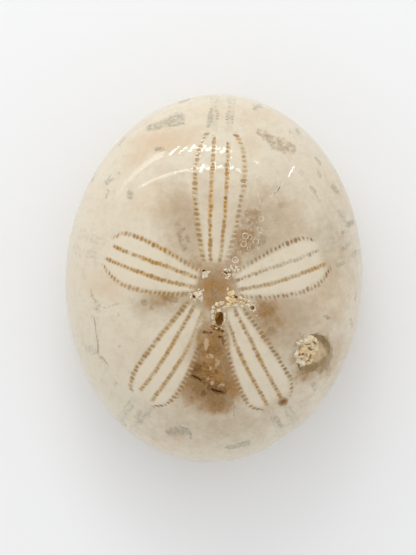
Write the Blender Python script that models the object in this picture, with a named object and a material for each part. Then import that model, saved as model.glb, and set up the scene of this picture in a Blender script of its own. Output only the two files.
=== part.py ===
"""Fossil sand dollar: an inflated oval sea urchin, turned to stone and polished, resting on its ground flat underside.

The front petal points to +Y, +Z is up, and the origin is on the table under the middle of the outline.
"""

from collections import namedtuple
from math import atan2, cos, pi, radians, sin, sqrt

import bmesh
import bpy
from mathutils import Matrix, Vector, noise

MM = 0.001

# The outline is an oval whose long axis leans to +X at the front.
HALF_WIDTH = 23.40 * MM
HALF_LENGTH = 29.05 * MM
OUTLINE_LEAN = radians(3)
# Flats that the polishing wheel left on the rear right: direction faced and distance from the middle.
GROUND_FLATS = ((radians(-55), 26.75 * MM), (radians(-33), 24.85 * MM))

# The dome rises from the widest level, and the sides turn in under it to the flat base.
HEIGHT = 27.0 * MM
RIM_LEVEL = 10.5 * MM
DOME_SHOULDER = 2.35
DOME_CROWN = 2.0
BASE_SHARE = 0.71

# The apex, where the petals meet, lies a little behind the middle.
APEX = Vector((0.1, -1.2)) * MM
# A shallow sink in the stained area behind the apex.
SINK_CENTRE = Vector((-0.2, -13.2)) * MM
SINK_HALF_WIDTH = 4.0 * MM
SINK_HALF_LENGTH = 6.0 * MM
SINK_DEPTH = 0.35 * MM

# Each petal has four rows of pores. Its sides are named as seen when facing outwards from the apex.
# bow shifts the middle of the petal to its left, and a peak says how far along the petal that side is widest.
Petal = namedtuple("Petal", "start tip bow left_half right_half left_inner right_inner left_peak right_peak")
PETALS = {
    "right": Petal((3.31, -1.10), (17.65, 3.78), -0.30, 4.00, 3.95, 1.15, 1.20, 0.72, 0.70),
    "front": Petal((0.13, 2.29), (1.15, 22.85), 0.00, 3.80, 3.90, 1.15, 1.20, 0.70, 0.70),
    "left": Petal((-2.44, -0.71), (-16.60, 4.20), 0.35, 3.85, 3.95, 1.10, 1.15, 0.70, 0.80),
    "rear_left": Petal((-2.30, -4.33), (-10.20, -19.30), 0.35, 3.60, 4.25, 1.35, 1.10, 0.72, 0.70),
    "rear_right": Petal((2.36, -4.65), (9.85, -19.80), 0.00, 3.80, 4.00, 1.20, 1.25, 0.85, 0.70),
}
PETAL_ROOT_SHARE = 0.47
PETAL_TIP_SHARE = 0.56
INNER_ROOT_SHARE = 0.62
INNER_SPREAD = 0.35
MARGIN_AT_ROOT = 0.20 * MM
MARGIN = 0.90 * MM

# Polishing left the pore rows as fine sunk lines.
ROW_HALF_WIDTH_AT_ROOT = 0.13 * MM
ROW_HALF_WIDTH = 0.26 * MM
ROW_DEPTH = 0.25 * MM
SUNK_COLUMNS = (2, 6, 10, 14)

# The net of the surface
PETAL_RINGS = 12
SHOULDER_RINGS = 5
GAP_COLUMNS = 6
DISC_SHARES = (0.25, 0.62)
UNDERCUT_ANGLES = (22, 44, 64, 80, 90)

# The large open pit on the rear right and the crumbly crust that half fills it
PIT_PLACE = (15.2, -11.7)
PIT_RADII = (2.75, 2.85, 1.75)
PIT_CRUST_PLACE = (14.7, -11.3)
PIT_CRUST_RADII = (1.75, 2.15, 1.30)
PIT_CRUST_SINK = 1.25
PIT_NODULES = 7
PIT_NODULE_RADIUS = 0.62
PIT_NODULE_SINK = 0.55

# Crumbly patches round the apex: place, half width and half length
CRUST_PATCHES = (
    (-1.47, 0.39, 0.65, 0.45),
    (2.20, 0.74, 1.10, 1.05),
    (-2.52, -2.92, 0.95, 1.10),
    (3.00, -2.92, 1.25, 1.20),
    (5.30, -3.30, 0.65, 0.55),
    (0.79, -4.11, 1.00, 0.60),
    (-0.35, -5.45, 0.42, 0.65),
)
PATCH_DEPTH = 0.45
PATCH_NODULES = 4
NODULE_SHARE = 0.45
NODULE_PROUD = 0.02
NODULE_FLATNESS = 0.8

# Open holes near the apex: place, half width, half length and depth
HOLES = (
    (0.85, -6.22, 0.55, 1.10, 1.6),
    (-1.53, 1.10, 0.42, 0.38, 0.8),
    (-3.26, -2.81, 0.40, 0.40, 0.8),
    (3.53, -2.92, 0.45, 0.40, 0.8),
    (5.99, -4.49, 0.45, 0.45, 0.7),
    (-0.06, -7.64, 0.35, 0.30, 0.5),
    (1.31, -8.21, 0.35, 0.35, 0.5),
)

# Ringed bumps where spines sat, on the front right: place and ring radius
SPINE_SEATS = (
    (4.63, 6.60, 0.70),
    (4.71, 5.36, 0.55),
    (6.49, 5.72, 0.55),
    (7.17, 7.61, 0.60),
    (7.85, 5.80, 0.50),
)
SEAT_DEPTH = 0.28
SEAT_BOSS_SHARE = 0.48

# Open cracks: points along each, half width and depth
CRACKS = {
    "left_crack": (((-18.8, -6.1), (-18.4, -9.0), (-18.2, -12.1), (-17.0, -13.4), (-16.4, -14.1)), 0.20, 0.55),
    "front_crack": (((5.0, 10.2), (7.7, 11.6), (9.6, 13.4), (10.6, 14.6), (12.3, 16.9)), 0.14, 0.30),
    "rear_crack": (((-3.1, -15.4), (-2.4, -15.6), (-1.6, -16.0)), 0.20, 0.50),
    "rear_short_crack": (((-0.3, -17.3), (0.5, -17.5), (1.4, -17.6)), 0.22, 0.50),
}
CRACK_END_SHARE = 0.15

# The underside: a mouth in the middle with five feeding furrows, and the vent near the rear edge
MOUTH_RADII = (2.5, 2.3, 1.3)
FURROW_REACH = (2.2, 11.0)
FURROW_HALF_WIDTH = 0.55
FURROW_DEPTH = 0.40
VENT_PLACE = (-0.3, -16.6)
VENT_RADII = (1.45, 1.10, 1.0)

STONE_COLOUR = (0.66, 0.58, 0.46, 1.0)
STONE_ROUGHNESS = 0.25


def clear_scene():
    for thing in list(bpy.context.scene.objects):
        bpy.data.objects.remove(thing, do_unlink=True)


def polished_stone():
    material = bpy.data.materials.new("polished_fossil")
    material.use_nodes = True
    shader = material.node_tree.nodes["Principled BSDF"]
    shader.inputs["Base Color"].default_value = STONE_COLOUR
    shader.inputs["Roughness"].default_value = STONE_ROUGHNESS
    shader.inputs["Metallic"].default_value = 0.0
    return material


def oval_reach(angle):
    """Distance from the apex to the oval outline in one direction."""
    turn = Matrix.Rotation(OUTLINE_LEAN, 2)
    start = turn @ APEX
    heading = turn @ Vector((cos(angle), sin(angle)))
    start = Vector((start.x / HALF_WIDTH, start.y / HALF_LENGTH))
    heading = Vector((heading.x / HALF_WIDTH, heading.y / HALF_LENGTH))
    a = heading.dot(heading)
    b = start.dot(heading)
    c = start.dot(start) - 1
    return (-b + sqrt(b * b - a * c)) / a


def outline_reach(angle):
    """Distance from the apex to the outline, with the ground flats taken off."""
    reach = oval_reach(angle)
    heading = Vector((cos(angle), sin(angle)))
    for facing, distance in GROUND_FLATS:
        face = Vector((cos(facing), sin(facing)))
        towards = heading.dot(face)
        if towards > 0:
            reach = min(reach, (distance - APEX.dot(face)) / towards)
    return reach


def share_out(place):
    """Direction of a place from the apex, and how far out it lies: 0 at the apex, 1 at the outline."""
    away = Vector(place) - APEX
    angle = atan2(away.y, away.x)
    return angle, away.length / outline_reach(angle)


def surface_height(place):
    _, share = share_out(place)
    crown = max(0.0, 1 - share ** DOME_SHOULDER) ** (1 / DOME_CROWN)
    across = (place[0] - SINK_CENTRE.x) / SINK_HALF_WIDTH
    along = (place[1] - SINK_CENTRE.y) / SINK_HALF_LENGTH
    sink = SINK_DEPTH / (1 + (across * across + along * along) ** 2)
    return RIM_LEVEL + (HEIGHT - RIM_LEVEL) * crown - sink * min(1, 4 * (1 - share))


def surface_point(place):
    return Vector((place[0], place[1], surface_height(place)))


def surface_normal(place):
    step = 0.1 * MM
    east = surface_height((place[0] + step, place[1])) - surface_height((place[0] - step, place[1]))
    north = surface_height((place[0], place[1] + step)) - surface_height((place[0], place[1] - step))
    return Vector((-east, -north, 2 * step)).normalized()


def outer_share(along, peak):
    """Half width of a petal's side as a share of its widest, from root to tip."""
    if along < peak:
        return PETAL_ROOT_SHARE + (1 - PETAL_ROOT_SHARE) * sin(pi / 2 * along / peak)
    return 1 - (1 - PETAL_TIP_SHARE) * ((along - peak) / (1 - peak)) ** 2.4


def spread_out(at_root, further_out, along):
    """A size that grows from the root of a petal and stays the same from INNER_SPREAD on."""
    return at_root + (further_out - at_root) * min(along / INNER_SPREAD, 1)


def petal_centre(petal, along):
    """A point on a petal's middle line, and the direction to the petal's left."""
    start, tip = Vector(petal.start), Vector(petal.tip)
    forward = (tip - start).normalized()
    left = Vector((-forward.y, forward.x))
    point = start.lerp(tip, along) + left * petal.bow * 4 * along * (1 - along)
    return point * MM, left


def petal_row(petal, along):
    """Points of one ring across a petal, from its right edge to its left edge."""
    centre, left = petal_centre(petal, along)
    outer_left = petal.left_half * outer_share(along, petal.left_peak) * MM
    outer_right = petal.right_half * outer_share(along, petal.right_peak) * MM
    inner_share = spread_out(INNER_ROOT_SHARE, 1, along)
    half = spread_out(ROW_HALF_WIDTH_AT_ROOT, ROW_HALF_WIDTH, along)
    margin = spread_out(MARGIN_AT_ROOT, MARGIN, along)
    side_left = side_offsets(petal.left_inner * inner_share * MM, outer_left, half, margin)
    side_right = side_offsets(petal.right_inner * inner_share * MM, outer_right, half, margin)
    offsets = [-offset for offset in reversed(side_right)] + [0.0] + side_left
    return [centre + left * offset for offset in offsets]


def side_offsets(inner, outer, half, margin):
    return [inner - half, inner, inner + half, (inner + outer) / 2, outer - half, outer, outer + half, outer + margin]


def ring_at(along):
    """One ring of directions and shares right round the shell, with the columns that run along pore rows."""
    rows = [[share_out(point) for point in petal_row(petal, along)] for petal in PETALS.values()]
    ring = []
    for row, following in zip(rows, rows[1:] + rows[:1]):
        ring += [(angle, share, column in SUNK_COLUMNS) for column, (angle, share) in enumerate(row)]
        (angle, share), (next_angle, next_share) = row[-1], following[0]
        swing = (next_angle - angle) % (2 * pi)
        for gap in range(1, GAP_COLUMNS + 1):
            part = gap / (GAP_COLUMNS + 1)
            ring.append((angle + swing * part, share + (next_share - share) * part, False))
    return ring


def place_at(angle, share):
    return APEX + Vector((cos(angle), sin(angle))) * outline_reach(angle) * share


def dome_rings():
    """Rings of points from the apex disc out to the widest level."""
    rings = []
    first = ring_at(0)
    for part in DISC_SHARES:
        rings.append([surface_point(place_at(angle, share * part)) for angle, share, _ in first])
    for index in range(PETAL_RINGS):
        along = index / (PETAL_RINGS - 1)
        depth = ROW_DEPTH if 0 < index < PETAL_RINGS - 1 else 0.0
        ring = []
        for angle, share, sunk in ring_at(along):
            place = place_at(angle, share)
            point = surface_point(place)
            if sunk and depth:
                point -= surface_normal(place) * depth
            ring.append(point)
        rings.append(ring)
    last = ring_at(1)
    for index in range(1, SHOULDER_RINGS + 1):
        part = sin(pi / 2 * index / SHOULDER_RINGS)
        rings.append([surface_point(place_at(angle, share + (1 - share) * part)) for angle, share, _ in last])
    return rings


def undercut_rings():
    """Rings from below the widest level in to the edge of the flat base."""
    rings = []
    last = ring_at(1)
    for degrees in UNDERCUT_ANGLES:
        turn = radians(degrees)
        share = BASE_SHARE + (1 - BASE_SHARE) * cos(turn)
        level = RIM_LEVEL * (1 - sin(turn))
        rings.append([place_at(angle, share).to_3d() + Vector((0, 0, level)) for angle, _, _ in last])
    return rings


def shell_mesh():
    bm = bmesh.new()
    top = bm.verts.new(surface_point(APEX))
    rings = [[bm.verts.new(point) for point in ring] for ring in dome_rings() + undercut_rings()]
    count = len(rings[0])
    for column in range(count):
        bm.faces.new((top, rings[0][column], rings[0][(column + 1) % count]))
    for inside, outside in zip(rings, rings[1:]):
        for column in range(count):
            after = (column + 1) % count
            bm.faces.new((inside[column], outside[column], outside[after], inside[after]))
    bm.faces.new(list(reversed(rings[-1])))
    bmesh.ops.recalc_face_normals(bm, faces=bm.faces)
    mesh = bpy.data.meshes.new("sand_dollar")
    bm.to_mesh(mesh)
    bm.free()
    return mesh


def surface_frame(place, sink=0.0, turn=0.0):
    """A frame whose Z stands square on the dome, sunk below it by a distance in mm."""
    place = Vector(place) * MM
    normal = surface_normal(place)
    tilt = Vector((0, 0, 1)).rotation_difference(normal).to_matrix().to_4x4()
    at = surface_point(place) - normal * sink * MM
    return Matrix.Translation(at) @ tilt @ Matrix.Rotation(turn, 4, "Z")


def helper(name, bm, frame):
    """A closed shape that cuts or joins the stone and isn't a piece of its own."""
    bmesh.ops.recalc_face_normals(bm, faces=bm.faces)
    mesh = bpy.data.meshes.new(name)
    bm.to_mesh(mesh)
    bm.free()
    mesh.transform(frame)
    thing = bpy.data.objects.new(name, mesh)
    bpy.context.scene.collection.objects.link(thing)
    thing.hide_render = True
    thing.display_type = "WIRE"
    return thing


def lump(name, radii, frame, detail=2, roughness=0.0, grain=1.0):
    """A ball of three radii in mm, made uneven by noise whose lumps are about grain mm wide."""
    bm = bmesh.new()
    bmesh.ops.create_icosphere(bm, subdivisions=detail, radius=1.0)
    shift = Vector((len(name), 3.7 * radii[0], 5.1 * radii[1])) + frame.translation / MM
    for vert in bm.verts:
        size = Vector((vert.co.x * radii[0], vert.co.y * radii[1], vert.co.z * radii[2]))
        swell = 1 + roughness * noise.noise(size / grain + shift)
        vert.co = size * swell * MM
    return helper(name, bm, frame)


def crack(name, points, half_width, depth):
    """A wedge that follows a line on the dome and narrows to both ends."""
    bm = bmesh.new()
    sections = []
    for index, point in enumerate(points):
        before = Vector(points[max(index - 1, 0)])
        after = Vector(points[min(index + 1, len(points) - 1)])
        along = (after - before).normalized()
        side = Vector((-along.y, along.x, 0))
        width = half_width * (CRACK_END_SHARE if index in (0, len(points) - 1) else 1)
        place = Vector(point) * MM
        middle = surface_point(place)
        normal = surface_normal(place)
        lip = normal * width * MM
        corners = (middle + lip + side * 2 * width * MM, middle + lip - side * 2 * width * MM,
                   middle - normal * depth * MM)
        sections.append([bm.verts.new(corner) for corner in corners])
    for first, second in zip(sections, sections[1:]):
        for corner in range(3):
            after = (corner + 1) % 3
            bm.faces.new((first[corner], first[after], second[after], second[corner]))
    bm.faces.new(sections[0])
    bm.faces.new(list(reversed(sections[-1])))
    return helper(name, bm, Matrix.Identity(4))


def nodules(name, place, half_width, half_length, count, radius, sink, detail=1):
    """Grains of crust set in a sunflower pattern over an oval patch."""
    grains = []
    for index in range(count):
        spread = sqrt((index + 0.4) / count) * 0.62
        angle = index * pi * (3 - sqrt(5)) + place[0]
        spot = (place[0] + cos(angle) * spread * half_width, place[1] + sin(angle) * spread * half_length)
        size = radius * (1 + 0.25 * sin(2.3 * index + place[1]))
        radii = (size, size * 0.9, size * NODULE_FLATNESS)
        frame = surface_frame(spot, sink, angle)
        grains.append(lump(f"{name}_{index}", radii, frame, detail, roughness=0.5, grain=0.5))
    return grains


def base_frame(place, turn=0.0):
    return Matrix.Translation(Vector((place[0], place[1], 0)) * MM) @ Matrix.Rotation(turn, 4, "Z")


def underside_cuts():
    cuts = [lump("mouth", MOUTH_RADII, base_frame(APEX / MM), roughness=0.15, grain=1.5)]
    reach = (FURROW_REACH[1] - FURROW_REACH[0]) / 2
    middle = sum(FURROW_REACH) / 2
    for name, petal in PETALS.items():
        away = Vector(petal.tip) - APEX / MM
        angle = atan2(away.y, away.x)
        place = APEX / MM + Vector((cos(angle), sin(angle))) * middle
        radii = (reach, FURROW_HALF_WIDTH, FURROW_DEPTH)
        cuts.append(lump(f"furrow_{name}", radii, base_frame(place, angle)))
    cuts.append(lump("vent", VENT_RADII, base_frame(VENT_PLACE)))
    return cuts


def surface_cuts():
    cuts = [lump("pit", PIT_RADII, surface_frame(PIT_PLACE), detail=3, roughness=0.16, grain=1.4)]
    for index, (x, y, half_width, half_length) in enumerate(CRUST_PATCHES):
        radii = (half_width, half_length, PATCH_DEPTH)
        cuts.append(lump(f"patch_{index}", radii, surface_frame((x, y)), roughness=0.3, grain=0.7))
    for index, (x, y, half_width, half_length, depth) in enumerate(HOLES):
        cuts.append(lump(f"hole_{index}", (half_width, half_length, depth), surface_frame((x, y))))
    for index, (x, y, radius) in enumerate(SPINE_SEATS):
        cuts.append(lump(f"seat_{index}", (radius, radius, SEAT_DEPTH), surface_frame((x, y)), detail=1))
    for name, (points, half_width, depth) in CRACKS.items():
        cuts.append(crack(name, points, half_width, depth))
    return cuts


def crust_lumps():
    frame = surface_frame(PIT_CRUST_PLACE, PIT_CRUST_SINK)
    lumps = [lump("pit_crust", PIT_CRUST_RADII, frame, detail=3, roughness=0.45, grain=0.8)]
    x, y = PIT_CRUST_PLACE
    half_width, half_length, _ = PIT_CRUST_RADII
    lumps += nodules("pit_nodule", (x, y), half_width, half_length, PIT_NODULES, PIT_NODULE_RADIUS,
                     PIT_NODULE_SINK, detail=2)
    for index, (x, y, half_width, half_length) in enumerate(CRUST_PATCHES):
        radius = NODULE_SHARE * min(half_width, half_length)
        sink = max(NODULE_FLATNESS * radius - NODULE_PROUD, PATCH_DEPTH - radius / 2)
        lumps += nodules(f"nodule_{index}", (x, y), half_width, half_length, PATCH_NODULES, radius, sink)
    for index, (x, y, radius) in enumerate(SPINE_SEATS):
        boss = radius * SEAT_BOSS_SHARE
        frame = surface_frame((x, y), SEAT_DEPTH)
        lumps.append(lump(f"boss_{index}", (boss, boss, SEAT_DEPTH), frame, detail=1))
    return lumps


def combine(stone, helpers, operation):
    for thing in helpers:
        step = stone.modifiers.new(thing.name, "BOOLEAN")
        step.operation = operation
        step.solver = "EXACT"
        step.object = thing


def build():
    clear_scene()
    stone = bpy.data.objects.new("sand_dollar", shell_mesh())
    bpy.context.scene.collection.objects.link(stone)
    stone.data.materials.append(polished_stone())
    stone.data.shade_smooth()
    stone.data.set_sharp_from_angle(angle=radians(40))
    combine(stone, surface_cuts() + underside_cuts(), "DIFFERENCE")
    combine(stone, crust_lumps(), "UNION")


build()
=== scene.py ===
"""The finish of the polished fossil sand dollar: its mottled stone, pores, crust, cracks and stains."""
from collections import namedtuple
from math import cos, pi, radians, sin, sqrt

import bmesh
import bpy
import numpy as np
from mathutils import Matrix, Vector, noise


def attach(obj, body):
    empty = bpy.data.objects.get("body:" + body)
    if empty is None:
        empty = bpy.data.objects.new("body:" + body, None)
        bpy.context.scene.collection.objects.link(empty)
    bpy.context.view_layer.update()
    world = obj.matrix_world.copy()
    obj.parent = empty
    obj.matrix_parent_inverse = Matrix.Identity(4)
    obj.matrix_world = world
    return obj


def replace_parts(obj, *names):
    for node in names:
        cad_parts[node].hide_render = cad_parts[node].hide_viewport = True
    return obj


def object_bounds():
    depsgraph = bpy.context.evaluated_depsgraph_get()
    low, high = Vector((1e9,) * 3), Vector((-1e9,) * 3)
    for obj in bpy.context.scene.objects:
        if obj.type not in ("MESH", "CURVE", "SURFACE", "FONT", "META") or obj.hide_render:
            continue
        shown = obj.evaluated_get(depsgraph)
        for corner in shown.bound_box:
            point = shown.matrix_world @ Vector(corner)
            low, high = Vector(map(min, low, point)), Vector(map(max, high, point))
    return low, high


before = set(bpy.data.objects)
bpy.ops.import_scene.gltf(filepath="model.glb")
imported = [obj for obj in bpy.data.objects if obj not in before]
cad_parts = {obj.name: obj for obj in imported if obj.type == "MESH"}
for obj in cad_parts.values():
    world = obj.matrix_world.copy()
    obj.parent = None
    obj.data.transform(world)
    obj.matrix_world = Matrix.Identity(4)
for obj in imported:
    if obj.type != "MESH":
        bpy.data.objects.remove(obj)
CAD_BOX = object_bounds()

MM = 0.001
NODE = "sand_dollar"
TINY = 1e-9

# The dome, in mm. The outline is an oval that leans to +X at the front, and its size comes from the frame.
OUTLINE_LEAN = radians(3)
DOME_TOP = 27.0
RIM_LEVEL = 10.5
DOME_SHOULDER = 2.35
DOME_CROWN = 2.0
BASE_SHARE = 0.71
APEX = np.array((0.1, -1.2))
# Slight flats on the outline: the way each faces and how far it stands from the middle
GROUND_FLATS = ((radians(-55), 26.75), (radians(-33), 24.85))
LEAST_FACING = 0.2
# A shallow sink between the rear petals, which fades towards the rim
SINK_CENTRE = (-0.2, -13.2)
SINK_HALF_WIDTH = 4.0
SINK_HALF_LENGTH = 6.0
SINK_DEPTH = 0.35
SINK_FADE = 4
SLOPE_STEP = 0.05


def outline_axes():
    """Half width and half length of the leaning oval that just fills the frame's box."""
    low, high = np.array(CAD_BOX[0]), np.array(CAD_BOX[1])
    across, along = np.minimum(high, -low)[:2] / MM
    lean_cos, lean_sin = cos(OUTLINE_LEAN) ** 2, sin(OUTLINE_LEAN) ** 2
    spread = lean_cos - lean_sin
    half_width = sqrt((across ** 2 * lean_cos - along ** 2 * lean_sin) / spread)
    half_length = sqrt((along ** 2 * lean_cos - across ** 2 * lean_sin) / spread)
    return half_width, half_length


HALF_WIDTH, HALF_LENGTH = outline_axes()

# The petals' four rows of pores, in mm. Sides are named as seen when facing outwards from the apex. The middle
# line runs from start to tip and bows to the left. Half and inner are how far the outer and the inner row lie
# from it. Peak is the share of the way where the outer row lies furthest out, and root the share of that
# distance at the start. Pitch is the step from pore to pore, inner_share the share of it in the inner rows, and
# slot how far the outer pores are drawn out.
Petal = namedtuple("Petal", "start tip bow left_half right_half left_inner right_inner left_peak right_peak "
                   "pitch left_root right_root inner_share slot", defaults=(0.47, 0.47, 0.82, 1.0))
PETALS = {
    "right": Petal((3.31, -1.10), (17.40, 3.55), -0.30, 4.00, 3.95, 1.15, 1.20, 0.72, 0.70, 0.72),
    "front": Petal((0.13, 2.29), (1.15, 22.85), 0.00, 3.80, 3.90, 1.15, 1.20, 0.70, 0.70, 0.82,
                   inner_share=0.94, slot=1.8),
    "left": Petal((-2.44, -0.71), (-16.60, 4.20), 0.35, 3.85, 3.95, 1.10, 1.15, 0.70, 0.80, 0.72),
    "rear_left": Petal((-2.30, -4.33), (-11.10, -18.90), 0.70, 3.68, 3.95, 1.15, 1.22, 0.85, 0.72, 0.74,
                       left_root=0.30),
    "rear_right": Petal((2.36, -4.65), (9.75, -19.70), -0.40, 4.00, 3.85, 1.20, 1.25, 0.80, 0.84, 0.74,
                        right_root=0.28),
}
PETAL_TIP_SHARE = 0.56
TIP_TAPER = 2.4
INNER_ROOT_SHARE = 0.62
INNER_SPREAD = 0.35

# The net: how many columns lie between the marks of one petal side, and how many rings each stretch has.
SIDE_COLUMNS = {"centre": 0, "inner_start": 4, "inner_end": 10, "outer_start": 14, "outer_end": 20, "edge": 23}
ROW_SWITCH = 12
FINE_BAND = 0.42
FINE_BAND_AT_ROOT = 0.10
FINE_BAND_SHARE = 0.4
EDGE_STRIP = 0.48
EDGE_STRIP_AT_ROOT = 0.04
MARGIN_GROWTH = 0.7
GAP_COLUMNS = 36
DISC_RINGS = 10
PETAL_RINGS = 122
SHOULDER_RINGS = 26
UNDERCUT_RINGS = 18
BASE_RINGS = 9


def oval_reach(angle):
    """Distance from the apex to the oval outline."""
    c, s = cos(OUTLINE_LEAN), sin(OUTLINE_LEAN)
    heading = np.stack([np.cos(angle), np.sin(angle)], axis=-1)
    x, y = heading[..., 0], heading[..., 1]
    turned = np.stack([x * c - y * s, x * s + y * c], axis=-1)
    start = np.array((APEX[0] * c - APEX[1] * s, APEX[0] * s + APEX[1] * c))
    axes = np.array((HALF_WIDTH, HALF_LENGTH))
    turned, start = turned / axes, start / axes
    a = (turned ** 2).sum(-1)
    b = (turned * start).sum(-1)
    return (-b + np.sqrt(b * b - a * ((start ** 2).sum() - 1))) / a


def outline_reach(angle):
    """Distance from the apex to the outline, with the ground flats taken off."""
    reach = oval_reach(angle)
    for facing, distance in GROUND_FLATS:
        towards = np.cos(angle - facing)
        away = distance - APEX[0] * cos(facing) - APEX[1] * sin(facing)
        flat = np.minimum(reach, away / np.maximum(towards, LEAST_FACING))
        reach = np.where(towards > LEAST_FACING, flat, reach)
    return reach


def share_out(places):
    """The heading of each place from the apex, and its share of the way to the outline."""
    away = places - APEX
    angle = np.arctan2(away[..., 1], away[..., 0])
    return angle, np.hypot(away[..., 0], away[..., 1]) / outline_reach(angle)


def place_at(angle, share):
    """The place with this heading and this share of the way to the outline."""
    reach = outline_reach(angle) * share
    return np.stack([APEX[0] + np.cos(angle) * reach, APEX[1] + np.sin(angle) * reach], axis=-1)


def surface_height(places):
    """The dome's height above the table."""
    _, share = share_out(places)
    share = np.minimum(share, 1)
    crown = (1 - share ** DOME_SHOULDER) ** (1 / DOME_CROWN)
    across = (places[..., 0] - SINK_CENTRE[0]) / SINK_HALF_WIDTH
    along = (places[..., 1] - SINK_CENTRE[1]) / SINK_HALF_LENGTH
    sink = SINK_DEPTH / (1 + (across ** 2 + along ** 2) ** 2) * np.minimum(1, SINK_FADE * (1 - share))
    return RIM_LEVEL + (DOME_TOP - RIM_LEVEL) * crown - sink


def on_dome(places):
    """Lifts flat places on to the dome."""
    return np.concatenate([places, surface_height(places)[..., None]], axis=-1)


def surface_frame(place, sink=0.0):
    """A frame in mm whose Z stands square on the dome, sunk below it."""
    x, y = place
    nearby = np.array([(x, y), (x + SLOPE_STEP, y), (x, y + SLOPE_STEP)], dtype=float)
    here, east, north = surface_height(nearby)
    normal = Vector((here - east, here - north, SLOPE_STEP)).normalized()
    tilt = Vector((0, 0, 1)).rotation_difference(normal).to_matrix().to_4x4()
    at = Vector((x, y, here)) - normal * sink
    return Matrix.Translation(at) @ tilt


def outer_spread(along, peak, root):
    """How far out an outer row lies some way along its petal, as a share."""
    if along < peak:
        return root + (1 - root) * sin(pi / 2 * along / peak)
    return 1 - (1 - PETAL_TIP_SHARE) * ((along - peak) / (1 - peak)) ** TIP_TAPER


def inner_spread(along):
    """The same for an inner row."""
    return INNER_ROOT_SHARE + (1 - INNER_ROOT_SHARE) * min(along / INNER_SPREAD, 1)


def petal_frame(petal, along):
    """A point on a petal's middle line and the direction to the petal's left."""
    start, tip = np.array(petal.start), np.array(petal.tip)
    forward = (tip - start) / np.hypot(*(tip - start))
    left = np.array((-forward[1], forward[0]))
    return start + (tip - start) * along + left * petal.bow * 4 * along * (1 - along), left


def side_offsets(inner, outer, along):
    """Offsets of one side's columns from the middle line, close together along the two rows of pores."""
    growth = min(along / INNER_SPREAD, 1) ** MARGIN_GROWTH
    band = FINE_BAND_AT_ROOT + (FINE_BAND - FINE_BAND_AT_ROOT) * growth
    band = min(band, FINE_BAND_SHARE * (outer - inner))
    edge = EDGE_STRIP_AT_ROOT + (EDGE_STRIP - EDGE_STRIP_AT_ROOT) * growth
    marks = [0, inner - band, inner + band, outer - band, outer + band, outer + band + edge]
    columns = np.arange(1, SIDE_COLUMNS["edge"] + 1)
    return np.interp(columns, list(SIDE_COLUMNS.values()), marks)


def petal_columns(petal, along):
    """One ring across a petal, from its right edge to its left: the points, their offsets from the middle line,
    the offsets of the four rows and the points of the rows."""
    centre, left = petal_frame(petal, along)
    halves = {"left": petal.left_half * outer_spread(along, petal.left_peak, petal.left_root),
              "right": petal.right_half * outer_spread(along, petal.right_peak, petal.right_root)}
    spread = inner_spread(along)
    inners = {"left": petal.left_inner * spread, "right": petal.right_inner * spread}
    sides = {side: side_offsets(inners[side], halves[side], along) for side in halves}
    offsets = np.concatenate([-sides["right"][::-1], [0.0], sides["left"]])
    rows = np.array([-halves["right"], -inners["right"], inners["left"], halves["left"]])
    return centre + offsets[:, None] * left, offsets, rows, centre + rows[:, None] * left


SIDE = SIDE_COLUMNS["edge"]
PETAL_COLUMNS = 2 * SIDE + 1
BLOCK = PETAL_COLUMNS + GAP_COLUMNS
COLUMNS = BLOCK * len(PETALS)
# Which of a petal's four rows each strip between two columns belongs to, right edge to left edge
STRIP_ROW = np.repeat((0, 1, 2, 3), (SIDE - ROW_SWITCH, ROW_SWITCH, ROW_SWITCH, SIDE - ROW_SWITCH))


def petal_ring(along):
    """One ring right round the shell. Gap columns swing evenly from petal to petal."""
    blocks = [share_out(petal_columns(petal, along)[0]) for petal in PETALS.values()]
    part = np.arange(1, GAP_COLUMNS + 1) / (GAP_COLUMNS + 1)
    angles, shares = [], []
    for (angle, share), (next_angle, next_share) in zip(blocks, blocks[1:] + blocks[:1]):
        swing = (next_angle[0] - angle[-1]) % (2 * pi)
        angles += [angle, angle[-1] + swing * part]
        shares += [share, share[-1] + (next_share[0] - share[-1]) * part]
    return np.concatenate(angles), np.concatenate(shares)


def net_rings():
    """All rings from the apex to the middle of the base, as points in mm."""
    first_angle, first_share = petal_ring(0)
    rings = []
    for index in range(1, DISC_RINGS + 1):
        rings.append(on_dome(place_at(first_angle, first_share * index / (DISC_RINGS + 1))))
    for along in np.linspace(0, 1, PETAL_RINGS):
        angle, share = petal_ring(along)
        rings.append(on_dome(place_at(angle, share)))
    for index in range(1, SHOULDER_RINGS + 1):
        part = sin(pi / 2 * index / SHOULDER_RINGS)
        rings.append(on_dome(place_at(angle, share + (1 - share) * part)))
    for index in range(1, UNDERCUT_RINGS + 1):
        turn = pi / 2 * index / UNDERCUT_RINGS
        flat = place_at(angle, np.full(COLUMNS, BASE_SHARE + (1 - BASE_SHARE) * cos(turn)))
        level = np.full((COLUMNS, 1), RIM_LEVEL * (1 - sin(turn)))
        rings.append(np.concatenate([flat, level], axis=-1))
    for index in range(1, BASE_RINGS + 1):
        flat = place_at(angle, np.full(COLUMNS, BASE_SHARE * (1 - index / (BASE_RINGS + 1))))
        rings.append(np.concatenate([flat, np.zeros((COLUMNS, 1))], axis=-1))
    return np.array(rings)


def net_faces(ring_count):
    """Quads between the rings and fans at both poles, as corner lists."""
    ring, column = np.meshgrid(np.arange(ring_count - 1), np.arange(COLUMNS), indexing="ij")
    after = (column + 1) % COLUMNS
    inside, outside = ring * COLUMNS, (ring + 1) * COLUMNS
    quads = np.stack([inside + column, outside + column, outside + after, inside + after], axis=-1)
    quads = quads.reshape(-1, 4)
    top, bottom = ring_count * COLUMNS, ring_count * COLUMNS + 1
    columns = np.arange(COLUMNS)
    after = (columns + 1) % COLUMNS
    last = (ring_count - 1) * COLUMNS
    crown = np.stack([np.full(COLUMNS, top), columns, after], axis=-1)
    sole = np.stack([np.full(COLUMNS, bottom), last + after, last + columns], axis=-1)
    return quads, crown, sole


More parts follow.
